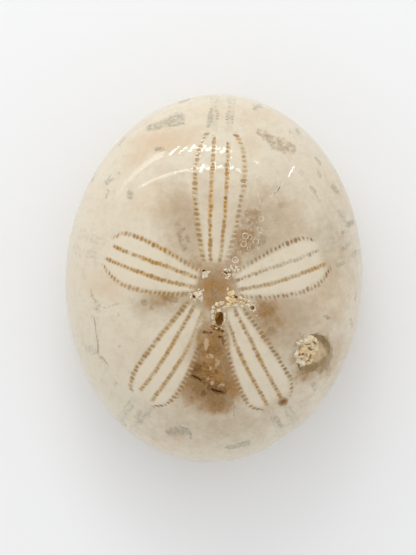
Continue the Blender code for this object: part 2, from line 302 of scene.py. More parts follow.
def new_mesh(name, points, faces):
    mesh = bpy.data.meshes.new(name)
    mesh.from_pydata(points, [], faces)
    mesh.update()
    return mesh


def store_values(mesh, name, values, domain):
    """Stores one number or one vector for each point or each face corner."""
    values = np.asarray(values, dtype=np.float32)
    kind, key = ("FLOAT", "value") if values.ndim == 1 else ("FLOAT_VECTOR", "vector")
    mesh.attributes.new(name, kind, domain).data.foreach_set(key, values.ravel())


# Every layer of the shell, with its value where it has nothing to say
FIELDS = {"rust": -1, "tan": 0, "peach": 0, "stain": 0, "soiled": 0, "faded": 0, "curls": 0, "grey": -1,
          "brown": -1, "dark": -1, "pale": -1, "petal": -2, "petal_white": 0, "pore_slot": 0,
          "pore_strength": 0, "pore_tint": 0, "pore_band": 0, "tip_band": 0, "inside": 0, "depth": 0}
VECTOR_FIELDS = {"pore_place": (0, 9, 0), "vein": (1, 0, 0)}
EMPTY = {name: np.array(value, dtype=float) for name, value in {**FIELDS, **VECTOR_FIELDS}.items()}
PETAL_FIELDS = ("petal", "petal_white", "pore_slot", "pore_strength", "pore_tint", "pore_band", "tip_band",
                "pore_place")

# The rows of pores, from the right edge of a petal to its left edge. Tint is -1 for gold, 0 for ochre and 1 for
# grey brown. Strength is how clearly the pores show, and band how clearly the line shows that joins them. All
# three are given at the root, half way and at the tip. End is the share of the petal where the row ends.
Row = namedtuple("Row", "tint strength band end")
ROWS = {
    "right": (Row((0.9, 0.8, 0.6), (0.5, 0.8, 0.9), (0.2, 0.2, 0.1), 1.00),
              Row((0.6, 0.4, 0.1), (0.6, 0.7, 0.8), (0.6, 0.7, 0.9), 0.97),
              Row((0.9, 0.9, 0.8), (0.8, 0.4, 0.9), (0.4, 0.3, 0.2), 0.94),
              Row((1.0, 1.0, 0.9), (0.1, 0.9, 1.0), (0.3, 0.4, 0.1), 0.93)),
    "front": (Row((1.0, 0.7, -0.5), (0.2, 0.8, 0.8), (0.3, 0.5, 0.2), 0.99),
              Row((0.6, -0.45, 0.1), (0.7, 1.0, 0.8), (0.4, 0.8, 0.1), 0.93),
              Row((0.4, -0.6, 0.1), (0.9, 1.0, 0.8), (0.4, 0.7, 0.1), 0.97),
              Row((0.4, 0.4, 0.1), (0.5, 1.0, 0.6), (0.5, 0.7, 0.1), 1.00)),
    "left": (Row((0.5, 0.0, 0.0), (0.2, 1.0, 0.7), (0.3, 0.7, 0.1), 1.00),
             Row((0.3, 0.0, 0.0), (0.7, 0.9, 0.9), (0.7, 0.9, 0.6), 0.96),
             Row((0.4, 0.0, 0.0), (0.6, 0.9, 1.0), (0.6, 0.8, 0.5), 0.99),
             Row((0.5, 0.3, 0.1), (0.4, 0.6, 0.9), (0.5, 0.5, 0.1), 1.00)),
    "rear_left": (Row((0.5, 0.3, 0.4), (0.5, 0.8, 0.9), (0.8, 0.7, 0.3), 0.98),
                  Row((0.6, 0.0, 0.3), (0.8, 0.7, 0.7), (0.6, 0.9, 0.6), 0.94),
                  Row((0.5, 0.1, 0.3), (0.3, 0.6, 0.8), (0.5, 0.8, 0.6), 0.97),
                  Row((0.6, 0.5, 0.6), (0.1, 0.2, 1.0), (0.5, 0.4, 0.1), 1.00)),
    "rear_right": (Row((0.6, 0.5, 0.4), (0.4, 0.2, 0.9), (0.2, 0.2, 0.2), 1.00),
                   Row((0.6, 0.2, 0.2), (0.6, 0.7, 0.7), (0.3, 0.9, 0.6), 0.97),
                   Row((0.6, 0.3, 0.1), (0.7, 0.7, 0.8), (0.3, 0.9, 0.5), 0.96),
                   Row((0.7, 0.7, 0.5), (0.5, 0.8, 0.9), (0.6, 0.5, 0.2), 0.98)),
}
# How white each petal is, at the same three places
PETAL_WHITENESS = {"right": (1.0, 1.0, 0.9), "front": (0.9, 0.22, 0.1), "left": (1.0, 0.8, 0.5),
                   "rear_left": (1.0, 1.0, 0.9), "rear_right": (1.0, 1.0, 0.9)}
THREE_PLACES = (0, 0.5, 1)
# How clearly the grey dashes show that carry the inner rows on past the tip
DASH_STRENGTH = {"right": 0.35, "front": 1.0, "left": 0.4, "rear_left": 0.8, "rear_right": 0.7}
# How soon each of these is at full strength, as a share of the petal, but for the dashes as a number of pores
ROOT_FADE = 0.03
WHITE_FADE = 0.05
TIP_FADE = 0.08
ROW_END_FADE = 0.015
DASH_FADE = 1.5
# Where the dashes end, as a share of the way from the petal's tip to the rim
DASH_END = 1.2


def pore_layers(rings):
    """Layers for both sides of each strip: the pore count along the nearest row, the offset outwards from it
    and the row's number, how strongly pores, petals and tip dashes show, and their tints."""
    ring_count = len(rings)
    shape = (ring_count, COLUMNS, 2)
    layers = {name: np.tile(EMPTY[name].astype(np.float32), (*shape, *(1,) * EMPTY[name].ndim))
              for name in PETAL_FIELDS}
    alongs = np.linspace(0, 1, PETAL_RINGS)
    first, last = DISC_RINGS, DISC_RINGS + PETAL_RINGS - 1
    margins = (first, ring_count - last - 1)
    nearest = np.clip(np.arange(ring_count) - first, 0, PETAL_RINGS - 1)
    shows = np.pad(np.clip(alongs / ROOT_FADE, 0, 1), margins)
    for number, (name, petal) in enumerate(PETALS.items()):
        _, offsets, rows, row_points = map(np.array, zip(*(petal_columns(petal, along) for along in alongs)))
        steps = np.linalg.norm(np.diff(on_dome(row_points), axis=0), axis=-1)
        pitches = petal.pitch * np.array([1, petal.inner_share, petal.inner_share, 1])
        counts = np.concatenate([np.zeros((1, 4)), np.cumsum(steps, axis=0)]) / pitches
        counts -= counts[-1]
        begin = number * BLOCK
        beyond = np.linalg.norm(np.diff(rings[last:, begin + SIDE], axis=0), axis=-1).cumsum() / petal.pitch
        counts = np.concatenate([np.repeat(counts[:1], first, axis=0), counts,
                                 np.repeat(beyond[:, None], 4, axis=1)])
        rim = beyond[SHOULDER_RINGS - 1]
        dashes = np.clip(DASH_END - beyond / rim, 0, 1) * np.clip(beyond / DASH_FADE, 0, 1)
        dashes = np.concatenate([np.zeros(last + 1), dashes * DASH_STRENGTH[name]])
        white = np.interp(alongs, THREE_PLACES, PETAL_WHITENESS[name])
        white *= np.clip(alongs / WHITE_FADE, 0, 1) * np.clip((1 - alongs) / TIP_FADE, 0, 1)
        white = np.pad(white, margins)
        for strip, row in enumerate(STRIP_ROW):
            side, edge_row = (-1, 0) if row < 2 else (1, 3)
            kind = ROWS[name][row]
            tint, strength, joint = (np.interp(alongs, THREE_PLACES, values)[nearest]
                                     for values in (kind.tint, kind.strength, kind.band))
            reached = shows * np.clip((kind.end - alongs) / ROW_END_FADE + 1, 0, 1)[nearest]
            line, edge = rows[nearest, row] * side, rows[nearest, edge_row] * side
            for end in (0, 1):
                offset = offsets[nearest, strip + end] * side
                row_number = np.full(ring_count, number * 4 + row)
                place = np.stack([counts[:, row], offset - line, row_number], axis=-1)
                found = {"pore_place": place, "pore_slot": petal.slot * (row == edge_row),
                         "pore_strength": reached * strength, "pore_band": reached * joint, "pore_tint": tint,
                         "tip_band": dashes * (row != edge_row), "petal_white": white, "petal": edge - offset}
                for layer, values in found.items():
                    layers[layer][:, begin + strip, end] = values
    return layers


def quad_corners(layer):
    """Turns values at both sides of each strip into values at the corners of each quad."""
    here, after = layer[:, :, 0], layer[:, :, 1]
    return np.stack([here[:-1], here[1:], after[1:], after[:-1]], axis=2)


# Marks in the stone. A mark is a stroke: its strength, then x, y and half width in mm at each of its points.
MARKS = {"grey": (
    (0.8, (-10.4, 23.5, 0.55), (-8.8, 23.9, 0.8), (-7.2, 24.7, 0.8), (-5.7, 25.3, 1.1), (-5.0, 25.3, 0.9)),
    (1.0, (-7.2, 24.0, 0.25), (-6.0, 24.0, 0.3), (-4.7, 24.3, 0.3)),
    (0.9, (-10.2, 23.9, 0.25), (-9.3, 24.3, 0.25)),
    (1.0, (-9.1, 20.2, 0.4), (-8.0, 20.2, 0.45)),
    (0.8, (-17.0, 15.3, 0.3), (-15.9, 15.5, 0.4)),
    (0.8, (-16.9, 14.9, 0.25), (-16.5, 13.6, 0.25), (-16.9, 12.7, 0.3)),
    (1.0, (-14.9, 16.9, 0.25), (-14.8, 16.4, 0.25)),
    (0.9, (-16.1, 16.6, 0.2), (-16.3, 15.8, 0.2)),
    (0.9, (-13.2, 13.5, 0.65), (-13.1, 12.7, 0.65)),
    (0.8, (-19.2, 15.2, 0.2), (-18.7, 16.2, 0.2)),
    (0.7, (-15.0, 20.4, 0.25), (-14.7, 21.4, 0.3), (-13.6, 22.4, 0.2)),
    (0.8, (-5.4, 27.7, 0.3), (-3.6, 28.3, 0.3)),
    (0.5, (-9.8, 10.7, 0.3)),
    (0.5, (-6.8, 12.6, 0.25)),
    (0.8, (6.5, 26.9, 0.7), (7.4, 27.1, 0.5)),
    (0.5, (6.8, 25.1, 0.2), (7.7, 25.0, 0.2)),
    (0.8, (12.0, 22.9, 0.3), (13.1, 23.5, 0.25), (13.6, 22.5, 0.35)),
    (0.9, (15.8, 19.1, 0.25), (16.7, 18.0, 0.3)),
    (0.7, (16.0, 17.4, 0.3), (16.7, 16.0, 0.4)),
    (0.5, (13.7, 16.5, 0.65)),
    (1.0, (15.2, 14.3, 0.4), (15.9, 13.4, 0.45)),
    (0.6, (16.1, 12.8, 0.3), (16.7, 11.9, 0.4)),
    (1.0, (18.6, 14.5, 0.5), (19.5, 13.3, 0.5)),
    (1.0, (21.1, 8.4, 0.6), (21.7, 8.9, 0.5)),
    (0.9, (20.1, 7.2, 0.45)),
    (0.5, (18.6, 6.4, 0.65)),
    (0.6, (21.9, 3.7, 0.7), (22.7, 4.3, 0.5)),
    (0.7, (19.3, 2.0, 0.35), (20.2, 2.4, 0.45)),
    (0.8, (22.3, -2.2, 0.2), (22.1, -3.7, 0.2)),
    (0.7, (21.1, -2.8, 0.3)),
    (0.7, (21.4, -6.2, 0.35), (21.7, -7.5, 0.4)),
    (0.8, (15.5, -16.6, 0.55), (15.8, -17.9, 0.3)),
    (0.7, (-11.7, -22.5, 0.7)),
    (0.6, (-14.7, -22.1, 0.5), (-14.0, -23.1, 0.5)),
    (0.9, (-7.1, -24.2, 0.6), (-5.7, -24.0, 0.7), (-4.3, -24.0, 0.7)),
    (1.0, (-7.6, -23.9, 0.2), (-6.6, -23.4, 0.25), (-5.4, -23.3, 0.25), (-3.9, -23.6, 0.3), (-3.6, -25.0, 0.3)),
    (0.8, (2.0, -26.5, 0.4), (3.8, -26.2, 0.55), (5.2, -25.9, 0.6)),
    (1.0, (4.3, -25.7, 0.2), (5.3, -25.5, 0.2), (5.8, -26.1, 0.25)),
    (0.9, (-19.2, -1.7, 0.25), (-19.1, -2.9, 0.3), (-18.4, -3.7, 0.3), (-17.8, -4.0, 0.3)),
    (0.6, (-18.6, -4.7, 0.5), (-18.0, -5.1, 0.5)),
    (0.8, (-19.2, -6.0, 0.3), (-18.4, -6.1, 0.35)),
    (0.8, (-15.0, -5.4, 0.2), (-14.9, -5.9, 0.2)),
    (0.8, (-14.8, -10.6, 0.4)),
    (0.7, (-15.4, -16.5, 0.5)),
    (0.8, (-16.2, -18.0, 0.2), (-15.8, -18.5, 0.2)),
    (0.5, (-19.5, -11.0, 0.95), (-18.4, -11.6, 0.65)),
    (0.4, (-19.1, 7.6, 0.45)),
    (0.7, (-21.0, -1.7, 0.2)),
    (0.5, (-16.8, 5.8, 0.3)),
    (0.8, (-0.9, 23.9, 0.5), (-0.6, 25.4, 0.5), (-0.4, 26.6, 0.4)),
    (0.6, (2.1, 24.4, 0.4), (2.5, 25.6, 0.4)),
    (0.45, (-11.7, -20.8, 0.5), (-12.4, -21.7, 0.5)),
    (0.4, (-9.8, -20.4, 0.4), (-10.6, -21.6, 0.5)),
    (0.8, (9.6, -21.9, 0.5), (10.6, -23.2, 0.6)),
    (0.6, (20.2, 4.6, 0.6), (21.2, 5.4, 0.5)),
    (0.6, (19.6, 10.4, 0.5), (20.4, 9.4, 0.5)),
), "brown": (
    (0.6, (0.7, -8.6, 0.7), (0.5, -10.2, 1.0), (0.9, -11.6, 0.8)),
    (0.7, (-2.2, -10.4, 0.5), (-2.7, -12.2, 0.7), (-3.0, -13.8, 1.0), (-2.6, -15.2, 1.0)),
    (0.7, (-3.9, -16.0, 0.9), (-2.4, -17.0, 1.3), (-0.6, -18.2, 1.4), (1.0, -19.0, 1.4), (0.4, -20.2, 1.0)),
    (0.6, (1.6, -12.6, 0.6), (2.4, -14.6, 0.9), (2.6, -16.4, 1.0)),
    (0.5, (-4.6, -4.2, 0.5), (-6.2, -6.4, 0.5)),
    (0.5, (4.9, 8.9, 1.0), (5.6, 10.6, 0.8)),
    (0.42, (7.6, -3.9, 0.8), (8.8, -5.3, 1.3), (8.2, -6.5, 1.3)),
    (0.5, (9.1, -8.1, 1.1), (7.6, -9.7, 0.65)),
    (0.6, (4.1, 5.6, 0.8), (5.2, 6.7, 1.3), (6.0, 8.3, 1.4), (6.6, 10.0, 1.1)),
    (0.6, (2.8, 3.5, 0.65), (7.6, 6.1, 0.95)),
    (0.55, (6.8, 23.1, 0.5), (8.5, 22.0, 1.0), (10.4, 20.9, 1.5), (12.0, 20.3, 1.1)),
    (0.8, (17.9, -6.2, 0.45), (17.3, -5.8, 0.3)),
    (0.7, (-11.0, -3.7, 0.7)),
    (0.4, (-9.8, -4.5, 0.55)),
    (0.7, (-8.5, -2.1, 0.5), (-7.2, -2.8, 0.95), (-6.0, -3.4, 0.65)),
    (0.6, (-4.8, 7.7, 0.4)),
    (0.6, (-4.2, 6.5, 0.4), (-4.0, 5.8, 0.4)),
    (0.4, (-5.7, 8.9, 0.65), (-4.7, 4.8, 0.8)),
    (0.45, (14.2, -14.8, 0.9), (13.2, -13.9, 0.6)),
    (0.4, (12.9, -10.5, 0.65), (13.6, -8.9, 0.65)),
    # These two strokes also darken the pit's right and lower walls: partly stain, partly painted shade
    (1.0, (16.2, -8.9, 0.6), (17.4, -9.7, 0.8), (18.1, -11.0, 0.6), (18.0, -12.6, 0.6), (17.2, -13.8, 0.7)),
    (0.7, (14.2, -14.2, 0.6), (15.8, -14.1, 0.8), (17.5, -13.7, 0.8)),
    (0.5, (8.4, 7.8, 0.25)),
    (0.6, (4.62, 5.38, 0.32)),
    (0.6, (6.51, 5.75, 0.30)),
    (0.5, (4.89, 6.62, 0.35)),
    (0.6, (2.98, 1.75, 0.22)),
    (0.4, (-2.2, -7.6, 0.5), (-2.6, -9.2, 0.5)),
    (0.6, (2.0, -8.6, 0.4), (2.6, -10.4, 0.4)),
), "dark": (
    (0.8, (-2.7, -13.9, 0.95)),
    (0.8, (-3.5, -14.5, 0.4), (-3.1, -15.1, 0.35)),
    (0.7, (-1.6, -13.2, 0.4)),
    (0.8, (-3.6, -15.2, 0.4), (-2.6, -15.5, 0.45), (-1.5, -16.1, 0.4)),
    (0.7, (-0.95, -14.0, 0.25)),
    (0.8, (0.4, -14.5, 0.35)),
    (0.8, (1.8, -16.2, 0.25)),
    (0.7, (-1.7, -17.9, 0.6)),
    (0.9, (-0.8, -17.0, 0.5), (0.5, -17.7, 0.55), (1.6, -17.8, 0.4)),
    (0.7, (0.9, -10.9, 0.22)),
    (0.8, (1.5, -10.0, 0.3), (1.3, -9.2, 0.3)),
    (0.7, (-2.4, -11.0, 0.3), (-2.0, -10.2, 0.2)),
    (0.8, (-0.1, -7.6, 0.5), (0.8, -8.0, 0.4)),
    (0.7, (-1.5, -8.4, 0.4), (-0.5, -8.5, 0.3)),
    (0.6, (2.2, -11.6, 0.3), (2.5, -13.2, 0.4)),
), "pale": (
    (1.0, (-1.2, -9.6, 0.4), (-1.2, -10.4, 0.5), (-1.3, -11.0, 0.3)),
    (0.6, (-0.9, -12.1, 0.45), (-0.3, -12.1, 0.4)),
    (0.5, (0.3, -12.4, 0.3), (0.6, -13.2, 0.4), (0.2, -14.0, 0.3)),
    (0.6, (-0.6, -13.9, 0.35)),
    (0.8, (-0.3, -16.3, 0.4)),
    (0.5, (-0.9, -15.7, 0.3)),
    (0.5, (0.8, -16.8, 0.35), (1.5, -16.6, 0.3)),
    (0.9, (15.1, -8.2, 0.4)),
    (0.9, (16.2, -10.6, 1.0), (16.8, -11.7, 1.2), (16.0, -12.6, 0.8)),
), "rust": (
    (1.0, (0.5, -5.2, 0.4), (0.3, -5.9, 0.35)),
    (0.6, (5.8, -4.5, 0.2)),
    (0.8, (-0.2, -7.6, 0.2)),
)}
# Veins and hairline cracks: -1 dark or 1 pale, strength, then the line's points in mm
VEINS = (
    (-1, 0.35, (-19.1, -3.7), (-18.4, -4.3), (-17.0, -4.5), (-15.1, -3.9), (-13.7, -4.0)),
    (1, 0.8, (-17.8, -4.9), (-16.1, -4.6), (-13.7, -4.2), (-12.6, -4.1)),
    (-1, 0.6, (-18.8, -6.1), (-18.6, -7.0), (-18.5, -8.0)),
    (-1, 0.6, (-18.4, -8.7), (-18.2, -10.5), (-18.2, -11.6), (-18.0, -12.4)),
    (1, 0.7, (-17.9, -9.1), (-17.7, -10.8), (-17.8, -11.6)),
    (-1, 0.9, (-17.8, -12.1), (-17.0, -13.0), (-16.5, -13.7)),
    (1, 0.9, (6.9, 11.0), (8.5, 12.5), (10.5, 14.4), (11.3, 15.7)),
    (-1, 0.7, (9.4, 13.2), (9.9, 13.8), (10.6, 14.6)),
    (1, 0.8, (6.4, 15.7), (6.6, 13.9), (7.2, 11.9)),
    (1, 0.5, (6.4, 15.8), (7.6, 16.2)),
    (1, 0.8, (-13.1, 8.4), (-13.2, 6.1), (-13.1, 3.1)),
    (1, 0.7, (2.9, -20.1), (2.8, -22.1)),
    (-1, 0.6, (3.2, -19.9), (3.1, -21.4)),
    (1, 0.6, (4.2, -4.5), (5.2, -3.9), (6.3, -4.0)),
    (1, 0.5, (15.6, 9.7), (16.2, 8.0)),
    (1, 0.5, (17.5, -9.4), (20.6, -8.0)),
    (1, 0.4, (12.9, 15.5), (14.5, 14.1), (14.8, 11.4)),
    (-1, 0.5, (-5.0, -3.7), (-6.0, -4.6)),
    (-1, 1.0, (-3.5, -15.4), (-2.6, -15.5), (-1.5, -16.0)),
    (-1, 1.0, (-0.5, -17.2), (0.4, -17.5), (1.6, -17.6)),
)
VEIN_END = 0.5
# Broad soft shading: x, y, half width, half length in mm, turn in degrees and strength
AREAS = {"tan": (
    (0.0, -1.4, 7.5, 6.5, 0, 1.0), (-4.7, 8.0, 3.6, 7.0, 12, 0.85), (7.0, 7.0, 7.0, 8.0, -20, 0.85),
    (9.0, -7.0, 8.0, 5.5, 0, 1.0), (-0.5, -15.0, 6.5, 8.0, 0, 1.0), (0.0, -22.5, 10.0, 4.0, 0, 0.6),
    (9.0, -6.6, 4.5, 4.0, 0, 1.3), (9.5, -19.0, 7.0, 5.0, 30, 0.5), (15.3, -11.8, 5.5, 5.5, 0, 0.75),
    (0.0, 13.0, 6.0, 5.0, 0, 0.5), (18.0, 4.0, 5.0, 10.0, 0, 0.55), (-8.8, -3.5, 4.0, 2.6, 0, 0.85),
), "peach": (
    (-8.0, 21.5, 6.0, 2.2, 15, 0.9), (-12.0, 18.5, 3.0, 2.0, 40, 0.6), (6.0, 21.5, 2.0, 2.5, 0, 0.6),
    (-8.5, 12.5, 6.0, 4.0, 0, 0.5), (18.0, -2.0, 4.0, 6.0, 0, 0.7), (-17.0, -1.0, 4.0, 2.5, 0, 0.6),
    (11.5, 9.0, 3.5, 3.5, 0, 0.5), (18.5, 15.0, 2.5, 4.0, 25, 0.5), (-12.0, -9.0, 4.0, 5.0, 0, 0.4),
    (3.0, 25.5, 8.0, 2.0, 0, 0.5), (19.0, -14.0, 3.0, 6.0, -20, 0.5), (-8.0, -25.5, 4.0, 2.0, 0, 0.4),
), "stain": (
    (0.0, -1.2, 2.6, 2.6, 0, 0.72), (0.1, -3.4, 1.8, 1.6, 0, 0.8), (0.2, -8.6, 1.9, 2.0, 0, 0.78),
    (-0.3, -11.4, 2.6, 2.8, 0, 1.0), (-1.2, -14.6, 3.8, 2.6, 0, 1.1), (-0.3, -17.0, 4.2, 2.2, 0, 1.2),
    (0.4, -19.2, 2.4, 1.6, 0, 1.0), (8.0, -4.9, 2.0, 1.7, 0, 0.62), (8.4, -7.4, 1.5, 1.5, 0, 0.4),
    (4.6, 6.2, 1.8, 2.6, -20, 0.5), (3.1, 2.6, 1.6, 1.6, 0, 0.5), (6.2, 9.2, 1.4, 1.8, 0, 0.35),
    (-7.4, -3.0, 2.2, 1.1, 20, 0.52), (13.8, -15.2, 1.9, 1.3, 0, 0.45), (16.9, -14.4, 1.2, 1.2, 0, 0.45),
    (17.6, -11.2, 0.6, 1.8, 0, 0.4), (12.4, -12.4, 0.8, 1.6, 0, 0.4), (-2.6, 2.4, 1.2, 1.4, 0, 0.45),
    (-2.2, -8.9, 0.9, 2.8, -25, 0.5), (10.0, -6.6, 1.4, 1.2, 0, 0.45), (10.7, 11.7, 1.1, 1.1, 0, 0.32),
    (10.75, -19.2, 0.55, 0.5, 0, 1.7),
), "soiled": (
    (-2.0, -8.6, 0.9, 3.2, -27, 1.0), (1.9, -8.0, 0.5, 2.0, 10, 0.7),
), "faded": (
    (-13.1, 4.6, 0.35, 2.2, 0, 0.9), (13.0, 1.2, 0.5, 0.5, 0, 1.0), (13.4, 3.6, 1.2, 0.6, 20, 0.7),
    (-12.0, 3.1, 0.6, 0.4, 0, 0.8), (4.9, 10.3, 0.6, 2.2, 0, 0.8), (9.2, 0.6, 0.4, 0.4, 0, 0.6),
    (-7.4, -9.5, 0.4, 0.5, 0, 0.5), (1.2, 13.5, 3.5, 0.4, 0, 0.3),
), "curls": (
    (5.6, 6.6, 3.2, 4.6, -20, 1.0), (3.2, 2.6, 1.6, 1.6, 0, 0.8), (7.6, 9.4, 2.4, 2.4, 0, 0.8),
    (6.6, -4.9, 1.6, 1.2, 0, 0.6), (-4.2, 6.2, 1.6, 2.4, 0, 0.35), (-7.2, -3.4, 2.0, 1.0, 0, 0.3),
)}
AREA_FALLOFF = 0.7
MARK_SLOPE = 2
# The lowest level that has marks, in mm
MARKED_FROM = 4.0


def stroke_depth(places, points):
    """1 on a stroke's middle line, 0 on its edge, less outside, down to -1."""
    depth = np.full(places.shape[:-1], -1.0)
    for start, end in zip(points, points[1:] or points):
        start, end = np.array(start), np.array(end)
        run = end[:2] - start[:2]
        part = np.clip(((places - start[:2]) @ run) / max(run @ run, TINY), 0, 1)
        nearest = start[:2] + part[..., None] * run
        half_width = start[2] + part * (end[2] - start[2])
        depth = np.maximum(depth, 1 - np.linalg.norm(places - nearest, axis=-1) / half_width)
    return depth


def mark_field(places, marks):
    """Up to its strength inside a mark, with a short slope at the edge, and below 0 outside all of them."""
    field = np.full(places.shape[:-1], -1.0)
    for strength, *points in marks:
        depth = stroke_depth(places, points)
        field = np.maximum(field, np.where(depth > 0, strength * np.minimum(MARK_SLOPE * depth, 1), depth))
    return field


def soft_field(places, areas):
    """Broad round areas that fade outwards."""
    total = np.zeros(places.shape[:-1])
    for x, y, half_width, half_length, turn, strength in areas:
        c, s = cos(radians(turn)), sin(radians(turn))
        dx, dy = places[..., 0] - x, places[..., 1] - y
        far = ((dx * c + dy * s) / half_width) ** 2 + ((dy * c - dx * s) / half_length) ** 2
        total = np.maximum(total, strength * np.exp(-AREA_FALLOFF * far))
    return total


def vein_layer(places):
    """For each place: the distance from the nearest vein, below 0 on its right, its strength and its kind."""
    layer = np.tile(EMPTY["vein"], (len(places), 1))
    nearest = np.full(len(places), VEIN_END)
    for kind, strength, *points in VEINS:
        for start, end in zip(points, points[1:]):
            start, end = np.array(start), np.array(end)
            run = end - start
            away = places - start
            part = (away @ run) / (run @ run)
            aside = (run[0] * away[:, 1] - run[1] * away[:, 0]) / np.hypot(*run)
            past = np.maximum(np.maximum(-part, part - 1), 0) * np.hypot(*run)
            distance = np.hypot(aside, past)
            closer = distance < nearest
            nearest = np.where(closer, distance, nearest)
            shows = strength * np.clip(1 - past / VEIN_END, 0, 1)
            layer[closer] = np.stack([aside, shows, np.full(len(places), kind)], axis=-1)[closer]
    return layer


def mark_layers(points):
    """The layers of marks at points in mm. The underside has none."""
    flat, upper = points[:, :2], points[:, 2] > MARKED_FROM
    layers = {name: np.where(upper, mark_field(flat, marks), -1.0) for name, marks in MARKS.items()}
    for name, areas in AREAS.items():
        layers[name] = soft_field(flat, areas) * upper
    layers["vein"] = np.where(upper[:, None], vein_layer(flat), VECTOR_FIELDS["vein"])
    return layers


def store_layers(mesh, corners, at_points, at_corners):
    """Gives every corner of a mesh all layers: from its point, its own, or else the value of an empty layer."""
    for name, empty in EMPTY.items():
        if name in at_points:
            values = at_points[name][corners]
        elif name in at_corners:
            values = at_corners[name]
        else:
            values = np.broadcast_to(empty, (len(corners), *empty.shape))
        store_values(mesh, name, values, "CORNER")


def shell_mesh():
    """The whole outer surface with its layers of marks."""
    rings = net_rings()
    quads, crown, sole = net_faces(len(rings))
    top = on_dome(APEX[None])[0]
    bottom = np.array((APEX[0], APEX[1], 0.0))
    points = np.concatenate([rings.reshape(-1, 3), [top, bottom]])
    mesh = new_mesh("polished_shell", points * MM, quads.tolist() + crown.tolist() + sole.tolist())
    corners = np.concatenate([quads.ravel(), crown.ravel(), sole.ravel()])
    at_corners = {}
    for name, layer in pore_layers(rings).items():
        empty = EMPTY[name]
        spare = np.broadcast_to(empty, (crown.size + sole.size, *empty.shape))
        at_corners[name] = np.concatenate([quad_corners(layer).reshape(quads.size, *empty.shape), spare])
    store_layers(mesh, corners, mark_layers(points), at_corners)
    return mesh


# Small wrappers that keep the node trees short

def feed(tree, socket, value):
    """Links another socket to this one, or else sets its value."""
    if isinstance(value, bpy.types.NodeSocket):
        tree.links.new(value, socket)
    else:
        socket.default_value = value


def put(tree, kind, *values, sockets=(), **settings):
    """A new node with its settings. Values feed its sockets in order, and the others feed them by name."""
    made = tree.nodes.new(kind)
    for name, value in settings.items():
        setattr(made, name, value)
    for socket, value in zip(made.inputs, values):
        feed(tree, socket, value)
    for name, value in dict(sockets).items():
        feed(tree, made.inputs[name], value)
    return made


def maths(tree, operation, *values):
    return put(tree, "ShaderNodeMath", *values, operation=operation).outputs[0]


def times(tree, first, *others):
    """The product of two or more values."""
    for other in others:
        first = maths(tree, "MULTIPLY", first, other)
    return first


def plus(tree, first, second):
    return maths(tree, "ADD", first, second)


def minus(tree, first, second):
    return maths(tree, "SUBTRACT", first, second)


def times_plus(tree, first, second, third):
    return maths(tree, "MULTIPLY_ADD", first, second, third)


def size_of(tree, value):
    return maths(tree, "ABSOLUTE", value)


def centred(tree, value):
    """Shifts a value from between 0 and 1 to about 0."""
    return minus(tree, value, 0.5)
def ramp(tree, value, low, high, to_low=0.0, to_high=1.0):
    """An eased step from to_low to to_high as the value goes from low to high."""
    made = put(tree, "ShaderNodeMapRange", value, low, high, to_low, to_high, interpolation_type="SMOOTHSTEP")
    return made.outputs["Result"]

# The Mix node's sockets for its factor and its two colours, and the one for its result
MIX_INPUTS = (0, 6, 7)
MIX_RESULT = 2


def blend(tree, factor, first, second):
    """Goes from the first colour to the second as the factor goes from 0 to 1."""
    made = put(tree, "ShaderNodeMix", data_type="RGBA")
    for socket, value in zip(MIX_INPUTS, (factor, first, second)):
        feed(tree, made.inputs[socket], value)
    return made.outputs[MIX_RESULT]


def grain(tree, place, scale, detail=2.0, roughness=0.5):
    """A noise between 0 and 1."""
    sockets = {"Vector": place, "Scale": scale, "Detail": detail, "Roughness": roughness}
    return put(tree, "ShaderNodeTexNoise", sockets=sockets).outputs["Fac"]


def wander(tree, place, scale):
    """A direction that changes smoothly from place to place, about zero."""
    moving = put(tree, "ShaderNodeTexNoise", sockets={"Vector": place, "Scale": scale}).outputs["Color"]
    return put(tree, "ShaderNodeVectorMath", moving, (-0.5, -0.5, -0.5)).outputs[0]


def own_chances(tree, *key):
    """Three random values for whatever has this key."""
    cell = put(tree, "ShaderNodeCombineXYZ", *key).outputs[0]
    luck = put(tree, "ShaderNodeTexWhiteNoise", cell, noise_dimensions="3D").outputs["Color"]
    return put(tree, "ShaderNodeSeparateXYZ", luck).outputs
def new_group(name, kind, inputs, outputs):
    """A node group with named sockets. A socket is (name, type) or (name, type, value)."""
    tree = bpy.data.node_groups.new(name, kind)
    for direction, sockets in (("INPUT", inputs), ("OUTPUT", outputs)):
        for socket in sockets:
            made = tree.interface.new_socket(socket[0], in_out=direction, socket_type="NodeSocket" + socket[1])
            if len(socket) > 2:
                made.default_value = socket[2]
    return tree, tree.nodes.new("NodeGroupInput"), tree.nodes.new("NodeGroupOutput")


def new_growth(name, *inputs):
    """A Geometry Nodes tree that changes a geometry, with further inputs."""
    return new_group(name, "GeometryNodeTree", [("Geometry", "Geometry"), *inputs], [("Geometry", "Geometry")])
def use_group(tree, group, **values):
    kind = "ShaderNodeGroup" if group.bl_idname == "ShaderNodeTree" else "GeometryNodeGroup"
    made = put(tree, kind, node_tree=group)
    for name, value in values.items():
        feed(tree, made.inputs[name.replace("_", " ")], value)
    return made


# Pores. The same sums press them into the mesh and colour them in the material. Jitter along the row is a share
# of the step between pores, and all other lengths are in mm. Chance makes each pore from SMALLEST_PORE of its
# full size upwards, by as much as PORE_SPREAD.
PORE_SEED = 4.0
PORE_JITTER_ALONG = 0.24
PORE_JITTER_ACROSS = 0.12
ROUND_PORE = 0.29
SLOT_PORE = 0.35
OUTER_PITCH = 0.74
INNER_PITCH = 0.60
SMALLEST_PORE, PORE_SPREAD = 0.62, 0.60
PORE_DEPTH = 0.06
RIPPLE_DEPTH = 0.012
RIPPLE_SCALE = 0.7
RIPPLE_FROM = 2.0
RIPPLE_DETAIL = 1.0
# Where a pore's wall begins and ends, as shares of its size
PORE_WALL = (0.45, 1.25)


